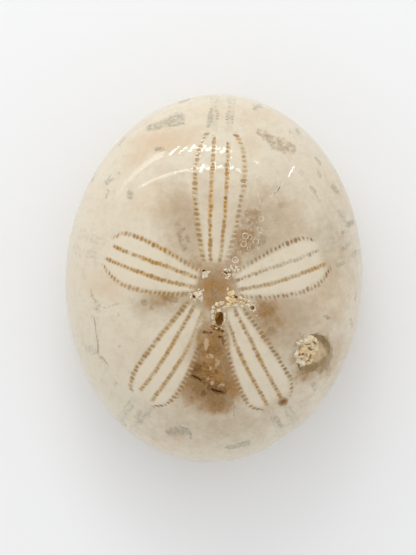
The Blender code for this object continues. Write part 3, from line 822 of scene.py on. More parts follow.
def pore_sums(tree, place, slot):
    """How far a point lies from the middle of its pore, 1 on the pore's edge, the pore's own random values, the
    pore count along the row and the offset from the row."""
    count, offset, row = put(tree, "ShaderNodeSeparateXYZ", place).outputs
    chances = own_chances(tree, maths(tree, "FLOOR", count), row, PORE_SEED)
    shift = times(tree, centred(tree, chances[0]), PORE_JITTER_ALONG)
    along = plus(tree, centred(tree, maths(tree, "FRACT", count)), shift)
    along = times(tree, along, times_plus(tree, slot, OUTER_PITCH - INNER_PITCH, INNER_PITCH))
    across = plus(tree, offset, times(tree, centred(tree, chances[1]), 2 * PORE_JITTER_ACROSS))
    size = times_plus(tree, chances[2], PORE_SPREAD, SMALLEST_PORE)
    reach = times_plus(tree, slot, SLOT_PORE - ROUND_PORE, ROUND_PORE)
    along = maths(tree, "DIVIDE", along, times(tree, size, ROUND_PORE))
    across = maths(tree, "DIVIDE", across, times(tree, size, reach))
    far = maths(tree, "SQRT", plus(tree, times(tree, along, along), times(tree, across, across)))
    return far, chances, count, offset


def stored(tree, name, kind="FLOAT"):
    """A stored layer, inside a Geometry Nodes tree."""
    return put(tree, "GeometryNodeInputNamedAttribute", name, data_type=kind).outputs["Attribute"]


def finish_tree(tree, end, geometry, material):
    """Ends a Geometry Nodes tree with real geometry in one material."""
    whole = put(tree, "GeometryNodeRealizeInstances", geometry)
    painted = put(tree, "GeometryNodeSetMaterial", whole.outputs[0], sockets={"Material": material})
    feed(tree, end.inputs[0], painted.outputs[0])
    return tree


def press_pores_tree():
    """Presses a pit for every pore into the net, and a faint ripple that the polishing left."""
    tree, start, end = new_growth(
        "press pores", ("Pore Depth", "Float", PORE_DEPTH * MM), ("Ripple Depth", "Float", RIPPLE_DEPTH * MM),
        ("Ripple Scale", "Float", RIPPLE_SCALE / MM), ("Stone", "Material"))
    far = pore_sums(tree, stored(tree, "pore_place", "FLOAT_VECTOR"), stored(tree, "pore_slot"))[0]
    depth = times(tree, ramp(tree, far, *PORE_WALL, 1.0, 0.0), stored(tree, "pore_strength"),
                  start.outputs["Pore Depth"])
    depth = put(tree, "GeometryNodeFieldOnDomain", depth, domain="CORNER", data_type="FLOAT").outputs[0]
    place = put(tree, "GeometryNodeInputPosition").outputs[0]
    off_base = ramp(tree, put(tree, "ShaderNodeSeparateXYZ", place).outputs[2], 0.0, RIPPLE_FROM * MM)
    ripple = times(tree, grain(tree, place, start.outputs["Ripple Scale"], RIPPLE_DETAIL), off_base)
    depth = times_plus(tree, ripple, start.outputs["Ripple Depth"], depth)
    inwards = times(tree, depth, -1.0)
    normal = put(tree, "GeometryNodeInputNormal").outputs[0]
    shift = put(tree, "ShaderNodeVectorMath", normal, operation="SCALE", sockets={"Scale": inwards})
    moved = put(tree, "GeometryNodeSetPosition", start.outputs["Geometry"],
                sockets={"Offset": shift.outputs[0]})
    return finish_tree(tree, end, moved.outputs[0], start.outputs["Stone"])


def new_piece(name, mesh):
    thing = bpy.data.objects.new(name, mesh)
    bpy.context.scene.collection.objects.link(thing)
    return thing


def result_mesh(thing, *helpers):
    """The plain mesh that an object's modifiers make. The object and its helpers are removed."""
    view = bpy.context.evaluated_depsgraph_get()
    result = bpy.data.meshes.new_from_object(thing.evaluated_get(view), depsgraph=view)
    for spent in (thing, *helpers):
        bpy.data.objects.remove(spent, do_unlink=True)
    return result


def grown(name, mesh, tree, **values):
    """Runs a node tree on a mesh and returns the plain mesh that comes out."""
    carrier = new_piece(name + "_start", mesh)
    growth = carrier.modifiers.new("grow", "NODES")
    growth.node_group = tree
    sockets = {item.name: item.identifier for item in tree.interface.items_tree if item.in_out == "INPUT"}
    for label, value in values.items():
        growth[sockets[label.replace("_", " ")]] = value
    result = result_mesh(carrier)
    result.name = name
    return result
# The hollows, in mm
PIT_PLACE = (15.6, -11.8)
PIT_RADII = (3.45, 3.20, 1.10)
# Crusted patches: x, y, half width and half length
CRUST_PATCHES = (
    (-1.45, 0.60, 0.45, 0.45), (2.20, 0.80, 0.70, 0.60), (-2.50, -2.70, 0.60, 0.70), (2.70, -3.00, 0.80, 0.90),
    (4.70, -3.70, 0.70, 0.40), (0.70, -4.05, 0.60, 0.35), (-0.20, -5.80, 0.25, 0.60),
)
PATCH_DEPTH = 0.30
# Small holes: x, y, half width, half length and depth
HOLES = (
    (0.82, -6.20, 0.66, 1.12, 0.9), (-1.60, 1.15, 0.25, 0.25, 0.4), (-3.15, -2.78, 0.26, 0.26, 0.4),
    (3.45, -2.90, 0.24, 0.20, 0.4), (5.99, -4.57, 0.32, 0.32, 0.20), (-0.06, -7.64, 0.38, 0.28, 0.18),
    (1.31, -8.21, 0.28, 0.22, 0.14), (0.80, -7.90, 0.22, 0.22, 0.14), (-0.52, -8.43, 0.27, 0.20, 0.10),
    (0.91, -9.12, 0.36, 0.22, 0.15), (-1.50, -8.35, 0.22, 0.26, 0.10),
)
# Cracks: the points of each, its half width and its depth
CRACKS = {
    "left": (((-18.8, -6.1), (-18.6, -7.0), (-18.5, -8.3), (-18.2, -10.5), (-18.2, -11.9), (-17.4, -12.8)),
             0.035, 0.10),
    "front": (((9.8, 13.6), (10.1, 14.0), (10.4, 14.4)), 0.04, 0.10),
    "rear": (((-3.6, -15.1), (-2.9, -15.4), (-1.8, -16.0)), 0.11, 0.35),
    "rear_short": (((-0.6, -17.2), (0.0, -17.5), (0.8, -17.7), (1.5, -17.8)), 0.15, 0.45),
}
# A crack's wedge: its share of width and depth at both ends, and its share of width between them with a sway
CRACK_END_SHARE = 0.15
CRACK_SHARE = 0.75
CRACK_SWAY = 0.25
CRACK_SWAY_TURN = 7
# A crack's line: the step between its points in mm, and how far, how quickly and from where it wanders
LINE_STEP = 0.35
LINE_SWAY = 0.12
LINE_SWAY_SCALE = 1.7
LINE_SWAY_SEED = 3.0
MOUTH_RADII = (2.5, 2.3, 1.3)
FURROW_REACH = (3.3, 11.0)
FURROW_HALF_WIDTH = 0.55
FURROW_DEPTH = 0.40
VENT_PLACE = (-0.3, -16.6)
VENT_RADII = (1.45, 1.10, 1.0)
# The lumps under the ground face are sunk a little and tilted a little, in radians
BASE_SINK = 0.037
BASE_TILT = 0.02
# What a hollow's walls are: broken stone that holds old sediment, or the dark wall of a small hole or a crack
BROKEN, DEEP = 1, 2
# How uneven each kind of lump is: subdivisions, share of the swells, their size in mm, share of the fine grain
PIT_LUMP = (5, 0.14, 0.9, 0.05)
PATCH_LUMP = (4, 0.5, 0.6, 0.08)
MOUTH_LUMP = (4, 0.15, 1.5, 0.04)
VENT_LUMP = (4, 0.12, 0.8, 0.04)
FURROW_LUMP = (4, 0.1, 1.0, 0.03)
HOLE_LUMP = (3, 0.25, 0.4, 0.05)
CRUST_LUMP = (3, 0.45, 0.40, 0.16)
LUMP_SHIFT = (3.1, 3.7, 5.1)
FINE_PER_SWELL = 4
# Roughness, step and number of the fine grain's layers
FINE_LAYERS = (0.8, 2.0, 3)


def lump(radii, frame_mm, detail, roughness, grain_size, fine):
    """A ball of three radii in mm, made uneven by noise, as points and faces in mm."""
    bm = bmesh.new()
    bmesh.ops.create_icosphere(bm, subdivisions=detail, radius=1.0)
    shift = Vector([share * radius for share, radius in zip(LUMP_SHIFT, radii)]) + frame_mm.translation
    points = []
    for vert in bm.verts:
        size = Vector([part * radius for part, radius in zip(vert.co, radii)])
        swell = 1 + roughness * noise.noise(size / grain_size + shift)
        swell += fine * noise.fractal(size * FINE_PER_SWELL / grain_size + shift, *FINE_LAYERS)
        points.append(frame_mm @ (size * swell))
    faces = [[vert.index for vert in face.verts] for face in bm.faces]
    bm.free()
    return points, faces


def wedge(points, half_width, depth):
    """A closed wedge that follows a line on the dome, in mm."""
    corners, faces = [], []
    for index, point in enumerate(points):
        before, after = Vector(points[max(index - 1, 0)]), Vector(points[min(index + 1, len(points) - 1)])
        along = (after - before).normalized()
        side = Vector((-along.y, along.x, 0))
        at_end = index in (0, len(points) - 1)
        share = CRACK_END_SHARE if at_end else CRACK_SHARE + CRACK_SWAY * sin(CRACK_SWAY_TURN * index)
        width = half_width * share
        stand = surface_frame(point)
        middle, normal = stand.translation, stand.col[2].to_3d()
        corners += [middle + normal * width + side * 2 * width, middle + normal * width - side * 2 * width,
                    middle - normal * depth * (CRACK_END_SHARE if at_end else 1)]
        if index:
            here = 3 * index
            faces += [(here - 3 + c, here - 3 + (c + 1) % 3, here + (c + 1) % 3, here + c) for c in range(3)]
    faces += [(2, 1, 0), (3 * len(points) - 3, 3 * len(points) - 2, 3 * len(points) - 1)]
    return corners, faces


def smooth_line(points):
    """A line through the given points, filled with a small wander, for cracks."""
    filled = []
    for start, end in zip(points, points[1:]):
        length = sqrt((end[0] - start[0]) ** 2 + (end[1] - start[1]) ** 2)
        count = max(2, int(length / LINE_STEP))
        for index in range(count):
            part = index / count
            x, y = start[0] + (end[0] - start[0]) * part, start[1] + (end[1] - start[1]) * part
            spot = Vector((x * LINE_SWAY_SCALE, y * LINE_SWAY_SCALE, LINE_SWAY_SEED))
            sway = LINE_SWAY * noise.noise(spot)
            filled.append((x + sway, y - sway))
    return filled + [points[-1]]
def joined(shapes):
    """One list of points and one list of faces out of several shapes."""
    points, faces = [], []
    for shape_points, shape_faces in shapes:
        start = len(points)
        points += [tuple(point) for point in shape_points]
        faces += [[start + corner for corner in face] for face in shape_faces]
    return points, faces


def base_frame(place, turn=0.0):
    """A frame just under the ground face, tilted a little so that no point of a lump lies in that face."""
    under = Matrix.Translation((place[0], place[1], -BASE_SINK))
    return under @ Matrix.Rotation(turn, 4, "Z") @ Matrix.Rotation(BASE_TILT, 4, "X")


def broken_hollows():
    """The pit and the crusted patches on the dome, and the mouth, vent and furrows of the underside."""
    shapes = [lump(PIT_RADII, surface_frame(PIT_PLACE), *PIT_LUMP)]
    for x, y, half_width, half_length in CRUST_PATCHES:
        shapes.append(lump((half_width, half_length, PATCH_DEPTH), surface_frame((x, y)), *PATCH_LUMP))
    shapes.append(lump(MOUTH_RADII, base_frame(APEX), *MOUTH_LUMP))
    shapes.append(lump(VENT_RADII, base_frame(VENT_PLACE), *VENT_LUMP))
    furrow_radii = ((FURROW_REACH[1] - FURROW_REACH[0]) / 2, FURROW_HALF_WIDTH, FURROW_DEPTH)
    for petal in PETALS.values():
        away = np.array(petal.tip) - APEX
        angle = float(np.arctan2(away[1], away[0]))
        place = APEX + np.array((cos(angle), sin(angle))) * sum(FURROW_REACH) / 2
        shapes.append(lump(furrow_radii, base_frame(place, angle), *FURROW_LUMP))
    return shapes


def deep_hollows():
    """The small holes and the cracks, which are dark inside."""
    holes = [lump((half_width, half_length, depth), surface_frame((x, y)), *HOLE_LUMP)
             for x, y, half_width, half_length, depth in HOLES]
    cracks = [wedge(smooth_line(points), half_width, depth) for points, half_width, depth in CRACKS.values()]
    return holes + cracks
def cut_out(mesh, shapes, name, kind):
    """Cuts closed shapes out of the shell. The walls keep the marks over them, their kind and their depth."""
    points, faces = joined(shapes)
    points = np.array(points)
    cutter_mesh = new_mesh(name, points * MM, faces)
    bm = bmesh.new()
    bm.from_mesh(cutter_mesh)
    bmesh.ops.recalc_face_normals(bm, faces=bm.faces)
    bm.to_mesh(cutter_mesh)
    bm.free()
    corners = np.empty(len(cutter_mesh.loops), dtype=int)
    cutter_mesh.loops.foreach_get("vertex_index", corners)
    layers = mark_layers(points)
    layers["inside"] = np.full(len(points), kind)
    layers["depth"] = np.clip(np.minimum(surface_height(points[:, :2]) - points[:, 2], points[:, 2]), 0, None)
    store_layers(cutter_mesh, corners, layers, {})
    cutter = new_piece(name, cutter_mesh)
    shell = new_piece(name + "_shell", mesh)
    cut = shell.modifiers.new("cut", "BOOLEAN")
    cut.operation = "DIFFERENCE"
    cut.solver = "EXACT"
    cut.object = cutter
    return result_mesh(shell, cutter)
# The crust, in mm: x, y, half width, half length and height of each lump, how far its top stands above the dome
# and its tint, from 0 for chalk white to 1 for yellow.
PIT_CRUST = (
    (14.3, -11.3, 1.60, 2.20, 1.10, 0.00, 0.7), (15.3, -10.9, 1.10, 1.20, 0.90, -0.15, 0.6),
    (14.9, -13.0, 1.20, 0.90, 0.80, -0.25, 0.8), (14.95, -9.50, 0.95, 0.85, 0.75, 0.22, 0.45),
    (14.15, -9.95, 0.75, 0.66, 0.65, 0.18, 0.4), (13.35, -10.05, 0.75, 0.60, 0.60, 0.16, 0.3),
    (12.85, -11.95, 0.50, 0.95, 0.60, 0.16, 0.2), (13.10, -12.90, 0.60, 0.60, 0.50, 0.12, 0.1),
    (13.85, -13.30, 0.60, 0.60, 0.52, 0.14, 0.0), (14.20, -11.10, 0.90, 0.55, 0.60, 0.12, 0.9),
    (15.50, -10.35, 0.75, 0.66, 0.60, 0.08, 0.5), (15.05, -11.45, 0.60, 0.55, 0.45, 0.12, 0.5),
    (14.55, -12.50, 0.70, 0.55, 0.50, 0.08, 0.2), (14.75, -11.95, 0.34, 0.34, 0.35, 0.16, 1.2),
    (13.60, -12.20, 0.55, 0.36, 0.45, 0.08, 0.7), (15.85, -9.80, 0.50, 0.46, 0.45, 0.10, 0.4),
    (14.10, -11.75, 0.60, 0.34, 0.45, 0.05, 0.6), (14.70, -10.50, 0.60, 0.40, 0.45, 0.14, 0.4),
    (15.70, -11.90, 0.55, 0.60, 0.50, -0.05, 0.8), (15.40, -12.70, 0.50, 0.45, 0.45, -0.05, 0.6),
    (16.25, -11.05, 0.55, 0.65, 0.45, -0.25, 0.5), (16.20, -10.20, 0.45, 0.45, 0.40, -0.05, 0.4),
)
APEX_CRUST = (
    (-1.40, 0.55, 0.56, 0.48, 0.35, 0.12, 0.0), (-1.05, 0.95, 0.34, 0.26, 0.25, 0.08, 0.1),
    (-1.75, 0.25, 0.30, 0.26, 0.25, 0.06, 0.1), (-0.65, 1.10, 0.22, 0.14, 0.20, 0.03, 0.0),
    (1.05, 1.25, 0.24, 0.16, 0.20, 0.03, 0.1), (1.30, 0.95, 0.22, 0.22, 0.20, 0.04, 0.1),
    (1.60, 0.60, 0.36, 0.34, 0.28, 0.08, 0.1), (1.95, 0.20, 0.40, 0.36, 0.28, 0.09, 0.0),
    (2.35, 0.55, 0.42, 0.36, 0.30, 0.12, 0.0), (2.30, 1.20, 0.40, 0.34, 0.28, 0.10, 0.1),
    (1.75, 1.35, 0.40, 0.26, 0.25, 0.08, 0.0), (2.75, 1.60, 0.34, 0.30, 0.25, 0.08, 0.1),
    (3.15, 1.20, 0.28, 0.26, 0.22, 0.07, 0.1), (3.55, 1.85, 0.30, 0.24, 0.22, 0.06, 0.0),
    (3.75, 1.30, 0.26, 0.24, 0.22, 0.05, 0.1), (2.95, 0.55, 0.26, 0.30, 0.22, 0.05, 0.1),
    (3.45, 0.70, 0.24, 0.20, 0.20, 0.04, 0.1),
    (-2.45, -2.35, 0.74, 0.70, 0.40, 0.14, 0.0), (-2.05, -3.15, 0.46, 0.66, 0.35, 0.10, 0.0),
    (-3.45, -2.45, 0.34, 0.26, 0.28, 0.06, 0.0), (-3.55, -2.95, 0.26, 0.36, 0.28, 0.06, 0.0),
    (-3.10, -3.35, 0.40, 0.26, 0.28, 0.06, 0.0), (-2.65, -2.95, 0.30, 0.36, 0.28, 0.08, 0.0),
    (-1.75, -1.80, 0.30, 0.40, 0.25, 0.05, 0.0), (-2.30, -1.70, 0.30, 0.26, 0.25, 0.05, 0.0),
    (2.65, -2.25, 0.70, 0.80, 0.40, 0.12, 0.9), (2.50, -3.30, 0.85, 0.75, 0.45, 0.14, 0.9),
    (3.20, -3.45, 0.75, 0.55, 0.40, 0.12, 0.8), (2.20, -4.10, 0.66, 0.45, 0.35, 0.08, 0.7),
    (3.35, -4.05, 0.52, 0.36, 0.32, 0.08, 0.4), (2.10, -1.65, 0.30, 0.36, 0.25, 0.04, 0.7),
    (4.10, -3.05, 0.55, 0.36, 0.30, 0.10, 0.6), (4.25, -3.70, 0.52, 0.36, 0.30, 0.10, 0.5),
    (4.85, -3.35, 0.46, 0.32, 0.28, 0.08, 0.3), (4.95, -3.95, 0.52, 0.34, 0.28, 0.08, 0.5),
    (5.45, -3.55, 0.36, 0.30, 0.25, 0.07, 0.2), (5.45, -4.20, 0.26, 0.30, 0.22, 0.05, 0.1),
    (4.30, -4.25, 0.46, 0.26, 0.25, 0.06, 0.2), (3.75, -2.45, 0.30, 0.20, 0.22, 0.05, 0.3),
    (6.10, -5.20, 0.24, 0.20, 0.20, 0.03, 0.1), (6.70, -5.80, 0.24, 0.18, 0.20, 0.03, 0.0),
    (7.05, -6.10, 0.16, 0.14, 0.18, 0.02, 0.0), (6.45, -4.95, 0.18, 0.18, 0.18, 0.03, 0.1),
    (0.35, -4.00, 0.62, 0.45, 0.32, 0.08, 0.3),
    (1.25, -3.85, 0.62, 0.45, 0.32, 0.08, 0.5), (-0.10, -4.45, 0.36, 0.36, 0.28, 0.05, 0.1),
    (1.55, -4.45, 0.40, 0.30, 0.25, 0.04, 0.4), (-0.25, -5.15, 0.32, 0.46, 0.30, 0.07, 0.1),
    (-0.22, -6.05, 0.26, 0.50, 0.30, 0.05, 0.2), (-0.05, -6.90, 0.28, 0.36, 0.25, 0.04, 0.3),
    (0.75, -4.95, 0.46, 0.26, 0.25, 0.04, 0.6), (1.68, -5.60, 0.18, 0.50, 0.25, 0.02, 0.3),
    (1.66, -6.60, 0.16, 0.46, 0.25, 0.02, 0.4), (0.40, -7.75, 0.30, 0.18, 0.20, 0.03, 0.4),
    (1.20, -7.70, 0.28, 0.18, 0.20, 0.02, 0.4), (1.05, -8.60, 0.26, 0.16, 0.20, 0.02, 0.4),
    (-0.45, -7.90, 0.22, 0.16, 0.18, 0.02, 0.5),
)
# Slits and little holes in the crust, as strokes
CRUST_SLITS = (
    (1.0, (12.95, -10.75, 0.26), (13.45, -10.95, 0.20)), (1.0, (14.75, -10.80, 0.10), (15.15, -11.15, 0.15)),
    (1.0, (13.25, -11.95, 0.10), (13.95, -11.80, 0.16)), (1.0, (14.97, -12.37, 0.18)),
    (0.8, (12.75, -13.35, 0.22), (13.15, -13.75, 0.20)), (0.7, (14.45, -12.95, 0.12), (14.85, -12.75, 0.12)),
    (0.8, (15.60, -9.95, 0.14), (15.90, -10.25, 0.12)), (0.6, (14.30, -10.35, 0.08), (15.00, -10.25, 0.08)),
    (0.6, (14.45, -11.75, 0.09), (14.55, -12.15, 0.09)), (0.6, (13.75, -10.55, 0.07), (14.25, -10.65, 0.07)),
    (1.0, (1.45, 1.10, 0.10), (1.85, 0.80, 0.12)), (0.8, (2.75, 1.10, 0.20)), (0.8, (2.05, 0.75, 0.12)),
    (1.0, (3.45, -2.90, 0.24)), (0.7, (2.05, -3.60, 0.07), (2.60, -3.90, 0.07)), (0.8, (4.55, -3.50, 0.12)),
    (1.0, (-3.15, -2.80, 0.24)), (0.8, (0.80, -4.10, 0.12)), (0.8, (0.75, -4.45, 0.14)),
    (0.9, (0.95, 1.35, 0.07), (1.30, 1.10, 0.07)), (0.9, (1.60, 0.25, 0.08), (2.05, 0.45, 0.08)),
    (0.9, (2.10, 1.25, 0.07), (2.45, 0.85, 0.07)), (0.9, (1.35, 0.70, 0.07), (1.70, 0.45, 0.07)),
    (0.8, (-2.75, -2.00, 0.08), (-2.40, -2.30, 0.06)), (0.8, (-2.30, -2.90, 0.07), (-1.90, -2.60, 0.06)),
    (0.8, (-2.60, -3.20, 0.07), (-2.30, -3.40, 0.06)), (0.9, (2.30, -2.75, 0.07), (2.75, -2.95, 0.08)),
    (0.9, (2.90, -3.60, 0.07), (3.40, -3.75, 0.08)), (0.8, (5.10, -3.65, 0.10), (4.90, -3.90, 0.08)),
    (0.9, (0.10, -4.35, 0.08), (0.40, -4.25, 0.07)), (0.9, (1.20, -4.25, 0.07), (1.60, -4.10, 0.08)),
    (0.7, (3.75, -3.80, 0.10)), (0.7, (4.65, -4.10, 0.10)), (0.6, (3.60, -3.30, 0.07), (4.20, -3.40, 0.07)),
)
CRUMB_SEED = 7
CRUMB_SIZE = 0.11
CRUMBS_PER_MM2 = 12.0
# The least and the most that crumbs are turned, in radians, and stretched, and how bright they are
CRUMB_TURNS = ((0, 0, 0), (6.3, 6.3, 6.3))
CRUMB_STRETCH = ((0.4, 0.4, 0.3), (1.2, 1.2, 0.8))
LEAST_CRUMB_LIGHT, CRUMB_LIGHT_SPREAD = 0.4, 0.6

# The ring-shaped seats of lost spines, in mm: x, y, radius and how far the ring stands out of the stone
SPINE_SEATS = (
    (4.89, 6.62, 0.46, 0.05), (4.62, 5.38, 0.42, 0.06), (6.51, 5.75, 0.42, 0.07), (7.14, 7.52, 0.44, 0.03),
    (7.38, 9.25, 0.38, 0.02), (3.31, 2.86, 0.48, 0.07), (2.98, 1.75, 0.44, 0.08), (5.99, -4.57, 0.46, 0.09),
    (6.15, -3.86, 0.36, 0.04), (5.40, 4.70, 0.26, 0.02), (3.90, 4.20, 0.24, 0.02),
)
SEAT_THICKNESS = 0.24
SEAT_RING_STEPS = 20
SEAT_TUBE_STEPS = 6
SEAT_SWAY = 0.22
SEAT_SWAY_SCALE = 1.3


def crust_mesh(name, lumps):
    """Noise-roughened lumps on the dome, with a tint for each lump and the slits between them."""
    shapes, tints = [], []
    for x, y, half_width, half_length, height, rise, tint in lumps:
        shape = lump((half_width, half_length, height), surface_frame((x, y), height - rise), *CRUST_LUMP)
        shapes.append(shape)
        tints += [tint] * len(shape[0])
    points, faces = joined(shapes)
    points = np.array(points)
    mesh = new_mesh(name, points * MM, faces)
    store_values(mesh, "tint", tints, "POINT")
    store_values(mesh, "slit", mark_field(points[:, :2], CRUST_SLITS), "POINT")
    return mesh


def crumbs_tree():
    """Scatters small faceted crumbs over lumps of crust."""
    tree, start, end = new_growth(
        "crumbly crust", ("Crumb Size", "Float", CRUMB_SIZE * MM),
        ("Crumbs per Area", "Float", CRUMBS_PER_MM2 / MM ** 2), ("Seed", "Int", CRUMB_SEED),
        ("Crust", "Material"))
    lumps, density = start.outputs["Geometry"], start.outputs["Crumbs per Area"]
    spots = put(tree, "GeometryNodeDistributePointsOnFaces",
                sockets={"Mesh": lumps, "Density": density, "Seed": start.outputs["Seed"]})
    crumb = put(tree, "GeometryNodeMeshIcoSphere", start.outputs["Crumb Size"], 1)
    bright = put(tree, "FunctionNodeRandomValue", data_type="FLOAT")
    light = times_plus(tree, bright.outputs[1], CRUMB_LIGHT_SPREAD, LEAST_CRUMB_LIGHT)
    marked = put(tree, "GeometryNodeStoreNamedAttribute", spots.outputs["Points"], data_type="FLOAT",
                 domain="POINT", sockets={"Name": "crumb", "Value": light})
    turn = put(tree, "FunctionNodeRandomValue", *CRUMB_TURNS, data_type="FLOAT_VECTOR")
    stretch = put(tree, "FunctionNodeRandomValue", *CRUMB_STRETCH, data_type="FLOAT_VECTOR")
    crumbs = put(tree, "GeometryNodeInstanceOnPoints",
                 sockets={"Points": marked.outputs["Geometry"], "Instance": crumb.outputs["Mesh"],
                          "Rotation": turn.outputs[0], "Scale": stretch.outputs[0]})
    whole = put(tree, "GeometryNodeJoinGeometry")
    for part in (crumbs.outputs[0], lumps):
        tree.links.new(part, whole.inputs[0])
    return finish_tree(tree, end, whole.outputs[0], start.outputs["Crust"])


def seats_mesh():
    """One point for each spine seat, with its radius and the direction that it faces."""
    stands = [surface_frame((x, y), SEAT_THICKNESS * radius - rise) for x, y, radius, rise in SPINE_SEATS]
    mesh = new_mesh("spine_seats", [stand.translation * MM for stand in stands], [])
    store_values(mesh, "radius", np.array([seat[2] for seat in SPINE_SEATS], dtype=np.float32) * MM, "POINT")
    store_values(mesh, "way", [stand.col[2].to_3d() for stand in stands], "POINT")
    return mesh


def seats_tree():
    """Stands a ring on each point, square to the dome."""
    tree, start, end = new_growth(
        "spine seats", ("Thickness", "Float", SEAT_THICKNESS), ("Sway", "Float", SEAT_SWAY * MM),
        ("Sway Scale", "Float", SEAT_SWAY_SCALE / MM), ("Stone", "Material"))
    circle = put(tree, "GeometryNodeCurvePrimitiveCircle",
                 sockets={"Resolution": SEAT_RING_STEPS, "Radius": 1.0})
    tube = put(tree, "GeometryNodeCurvePrimitiveCircle",
               sockets={"Resolution": SEAT_TUBE_STEPS, "Radius": start.outputs["Thickness"]})
    ring = put(tree, "GeometryNodeCurveToMesh", circle.outputs["Curve"], tube.outputs["Curve"])
    facing = put(tree, "FunctionNodeAlignRotationToVector", axis="Z",
                 sockets={"Vector": stored(tree, "way", "FLOAT_VECTOR")})
    rings = put(tree, "GeometryNodeInstanceOnPoints",
                sockets={"Points": start.outputs["Geometry"], "Instance": ring.outputs[0],
                         "Rotation": facing.outputs[0], "Scale": stored(tree, "radius")})
    whole = put(tree, "GeometryNodeRealizeInstances", rings.outputs[0])
    place = put(tree, "GeometryNodeInputPosition").outputs[0]
    sway = wander(tree, place, start.outputs["Sway Scale"])
    sway = put(tree, "ShaderNodeVectorMath", sway, operation="SCALE", sockets={"Scale": start.outputs["Sway"]})
    moved = put(tree, "GeometryNodeSetPosition", whole.outputs[0], sockets={"Offset": sway.outputs[0]})
    return finish_tree(tree, end, moved.outputs[0], start.outputs["Stone"])
# Colours, as linear values
CREAM = (0.685, 0.605, 0.47, 1)
PALE = (0.69, 0.62, 0.485, 1)
PEACH = (0.64, 0.50, 0.345, 1)
TAN = (0.475, 0.365, 0.24, 1)
CLOUD_GREY = (0.54, 0.46, 0.345, 1)
MOTTLE_TAN = (0.36, 0.25, 0.13, 1)
PETAL_WHITE = (0.72, 0.635, 0.49, 1)
STAIN_TAN = (0.36, 0.19, 0.052, 1)
STAIN_PINK = (0.58, 0.43, 0.27, 1)
STAIN_BROWN = (0.16, 0.062, 0.004, 1)
STAIN_ROSE = (0.36, 0.24, 0.135, 1)
BROWN = (0.26, 0.155, 0.06, 1)
DEEP_BROWN = (0.11, 0.04, 0.0, 1)
GREY_GREEN = (0.28, 0.265, 0.19, 1)
BAND_OCHRE = (0.45, 0.27, 0.06, 1)
BAND_GREY = (0.42, 0.31, 0.17, 1)
PORE_OCHRE = (0.34, 0.16, 0.01, 1)
PORE_GOLD = (0.46, 0.19, 0.0, 1)
BAND_GOLD = (0.52, 0.29, 0.04, 1)
PORE_UMBER = (0.21, 0.13, 0.05, 1)
PORE_DARK = (0.17, 0.055, 0.002, 1)
SEDIMENT = (0.71, 0.56, 0.37, 1)
# Painted shade: sediment turned darker brown deeper down in the broken hollows
SHADED_SEDIMENT_BROWN = (0.41, 0.305, 0.175, 1)
SLIT_BROWN = (0.24, 0.12, 0.03, 1)
# Partly stain and partly painted shade, for the pit's right and lower walls
WALL_STAIN_AND_SHADE = (0.32, 0.22, 0.11, 1)
HOLE_ORANGE = (0.52, 0.24, 0.05, 1)
HOLE_BLACK = (0.20, 0.09, 0.02, 1)
CRUST_CHALK = (0.82, 0.75, 0.58, 1)
CRUST_YELLOW = (0.88, 0.68, 0.38, 1)
CRUST_ORANGE = (0.55, 0.29, 0.08, 1)
CRUST_BROWN = (0.32, 0.18, 0.06, 1)
SEAT_CREAM = (0.74, 0.64, 0.48, 1)
# The noises of the looks: how fine they are per mm, their detail and their roughness
NOISES = {
    "broad": (0.10, 3.0, 0.55), "cloud": (0.33, 5.0, 0.62), "speck": (2.6, 3.0, 0.6), "haze": (0.5, 6.0, 0.68),
    "mottle": (1.0, 4.0, 0.65), "stain": (0.8, 6.0, 0.75), "stain_grain": (2.6, 5.0, 0.78),
    "rose": (0.6, 3.0, 0.6), "vein_sway": (1.5, 3.0, 0.6), "vein_gaps": (1.1, 2.0, 0.5),
    "curl_gaps": (1.7, 2.0, 0.6), "pit": (1.4, 4.0, 0.6), "petal": (0.7, 3.0, 0.6),
    "comb_gaps": (1.6, 3.0, 0.7), "band_gaps": (0.9, 2.0, 0.6), "grey": (1.8, 5.0, 0.75),
    "polish": (2.2, 3.0, 0.6), "bump": (3.0, 4.0, 0.7), "crust_cloud": (1.5, 3.0, 0.6),
    "crust_grain": (5.0, 3.0, 0.65), "seat": (2.0, 3.0, 0.6),
}
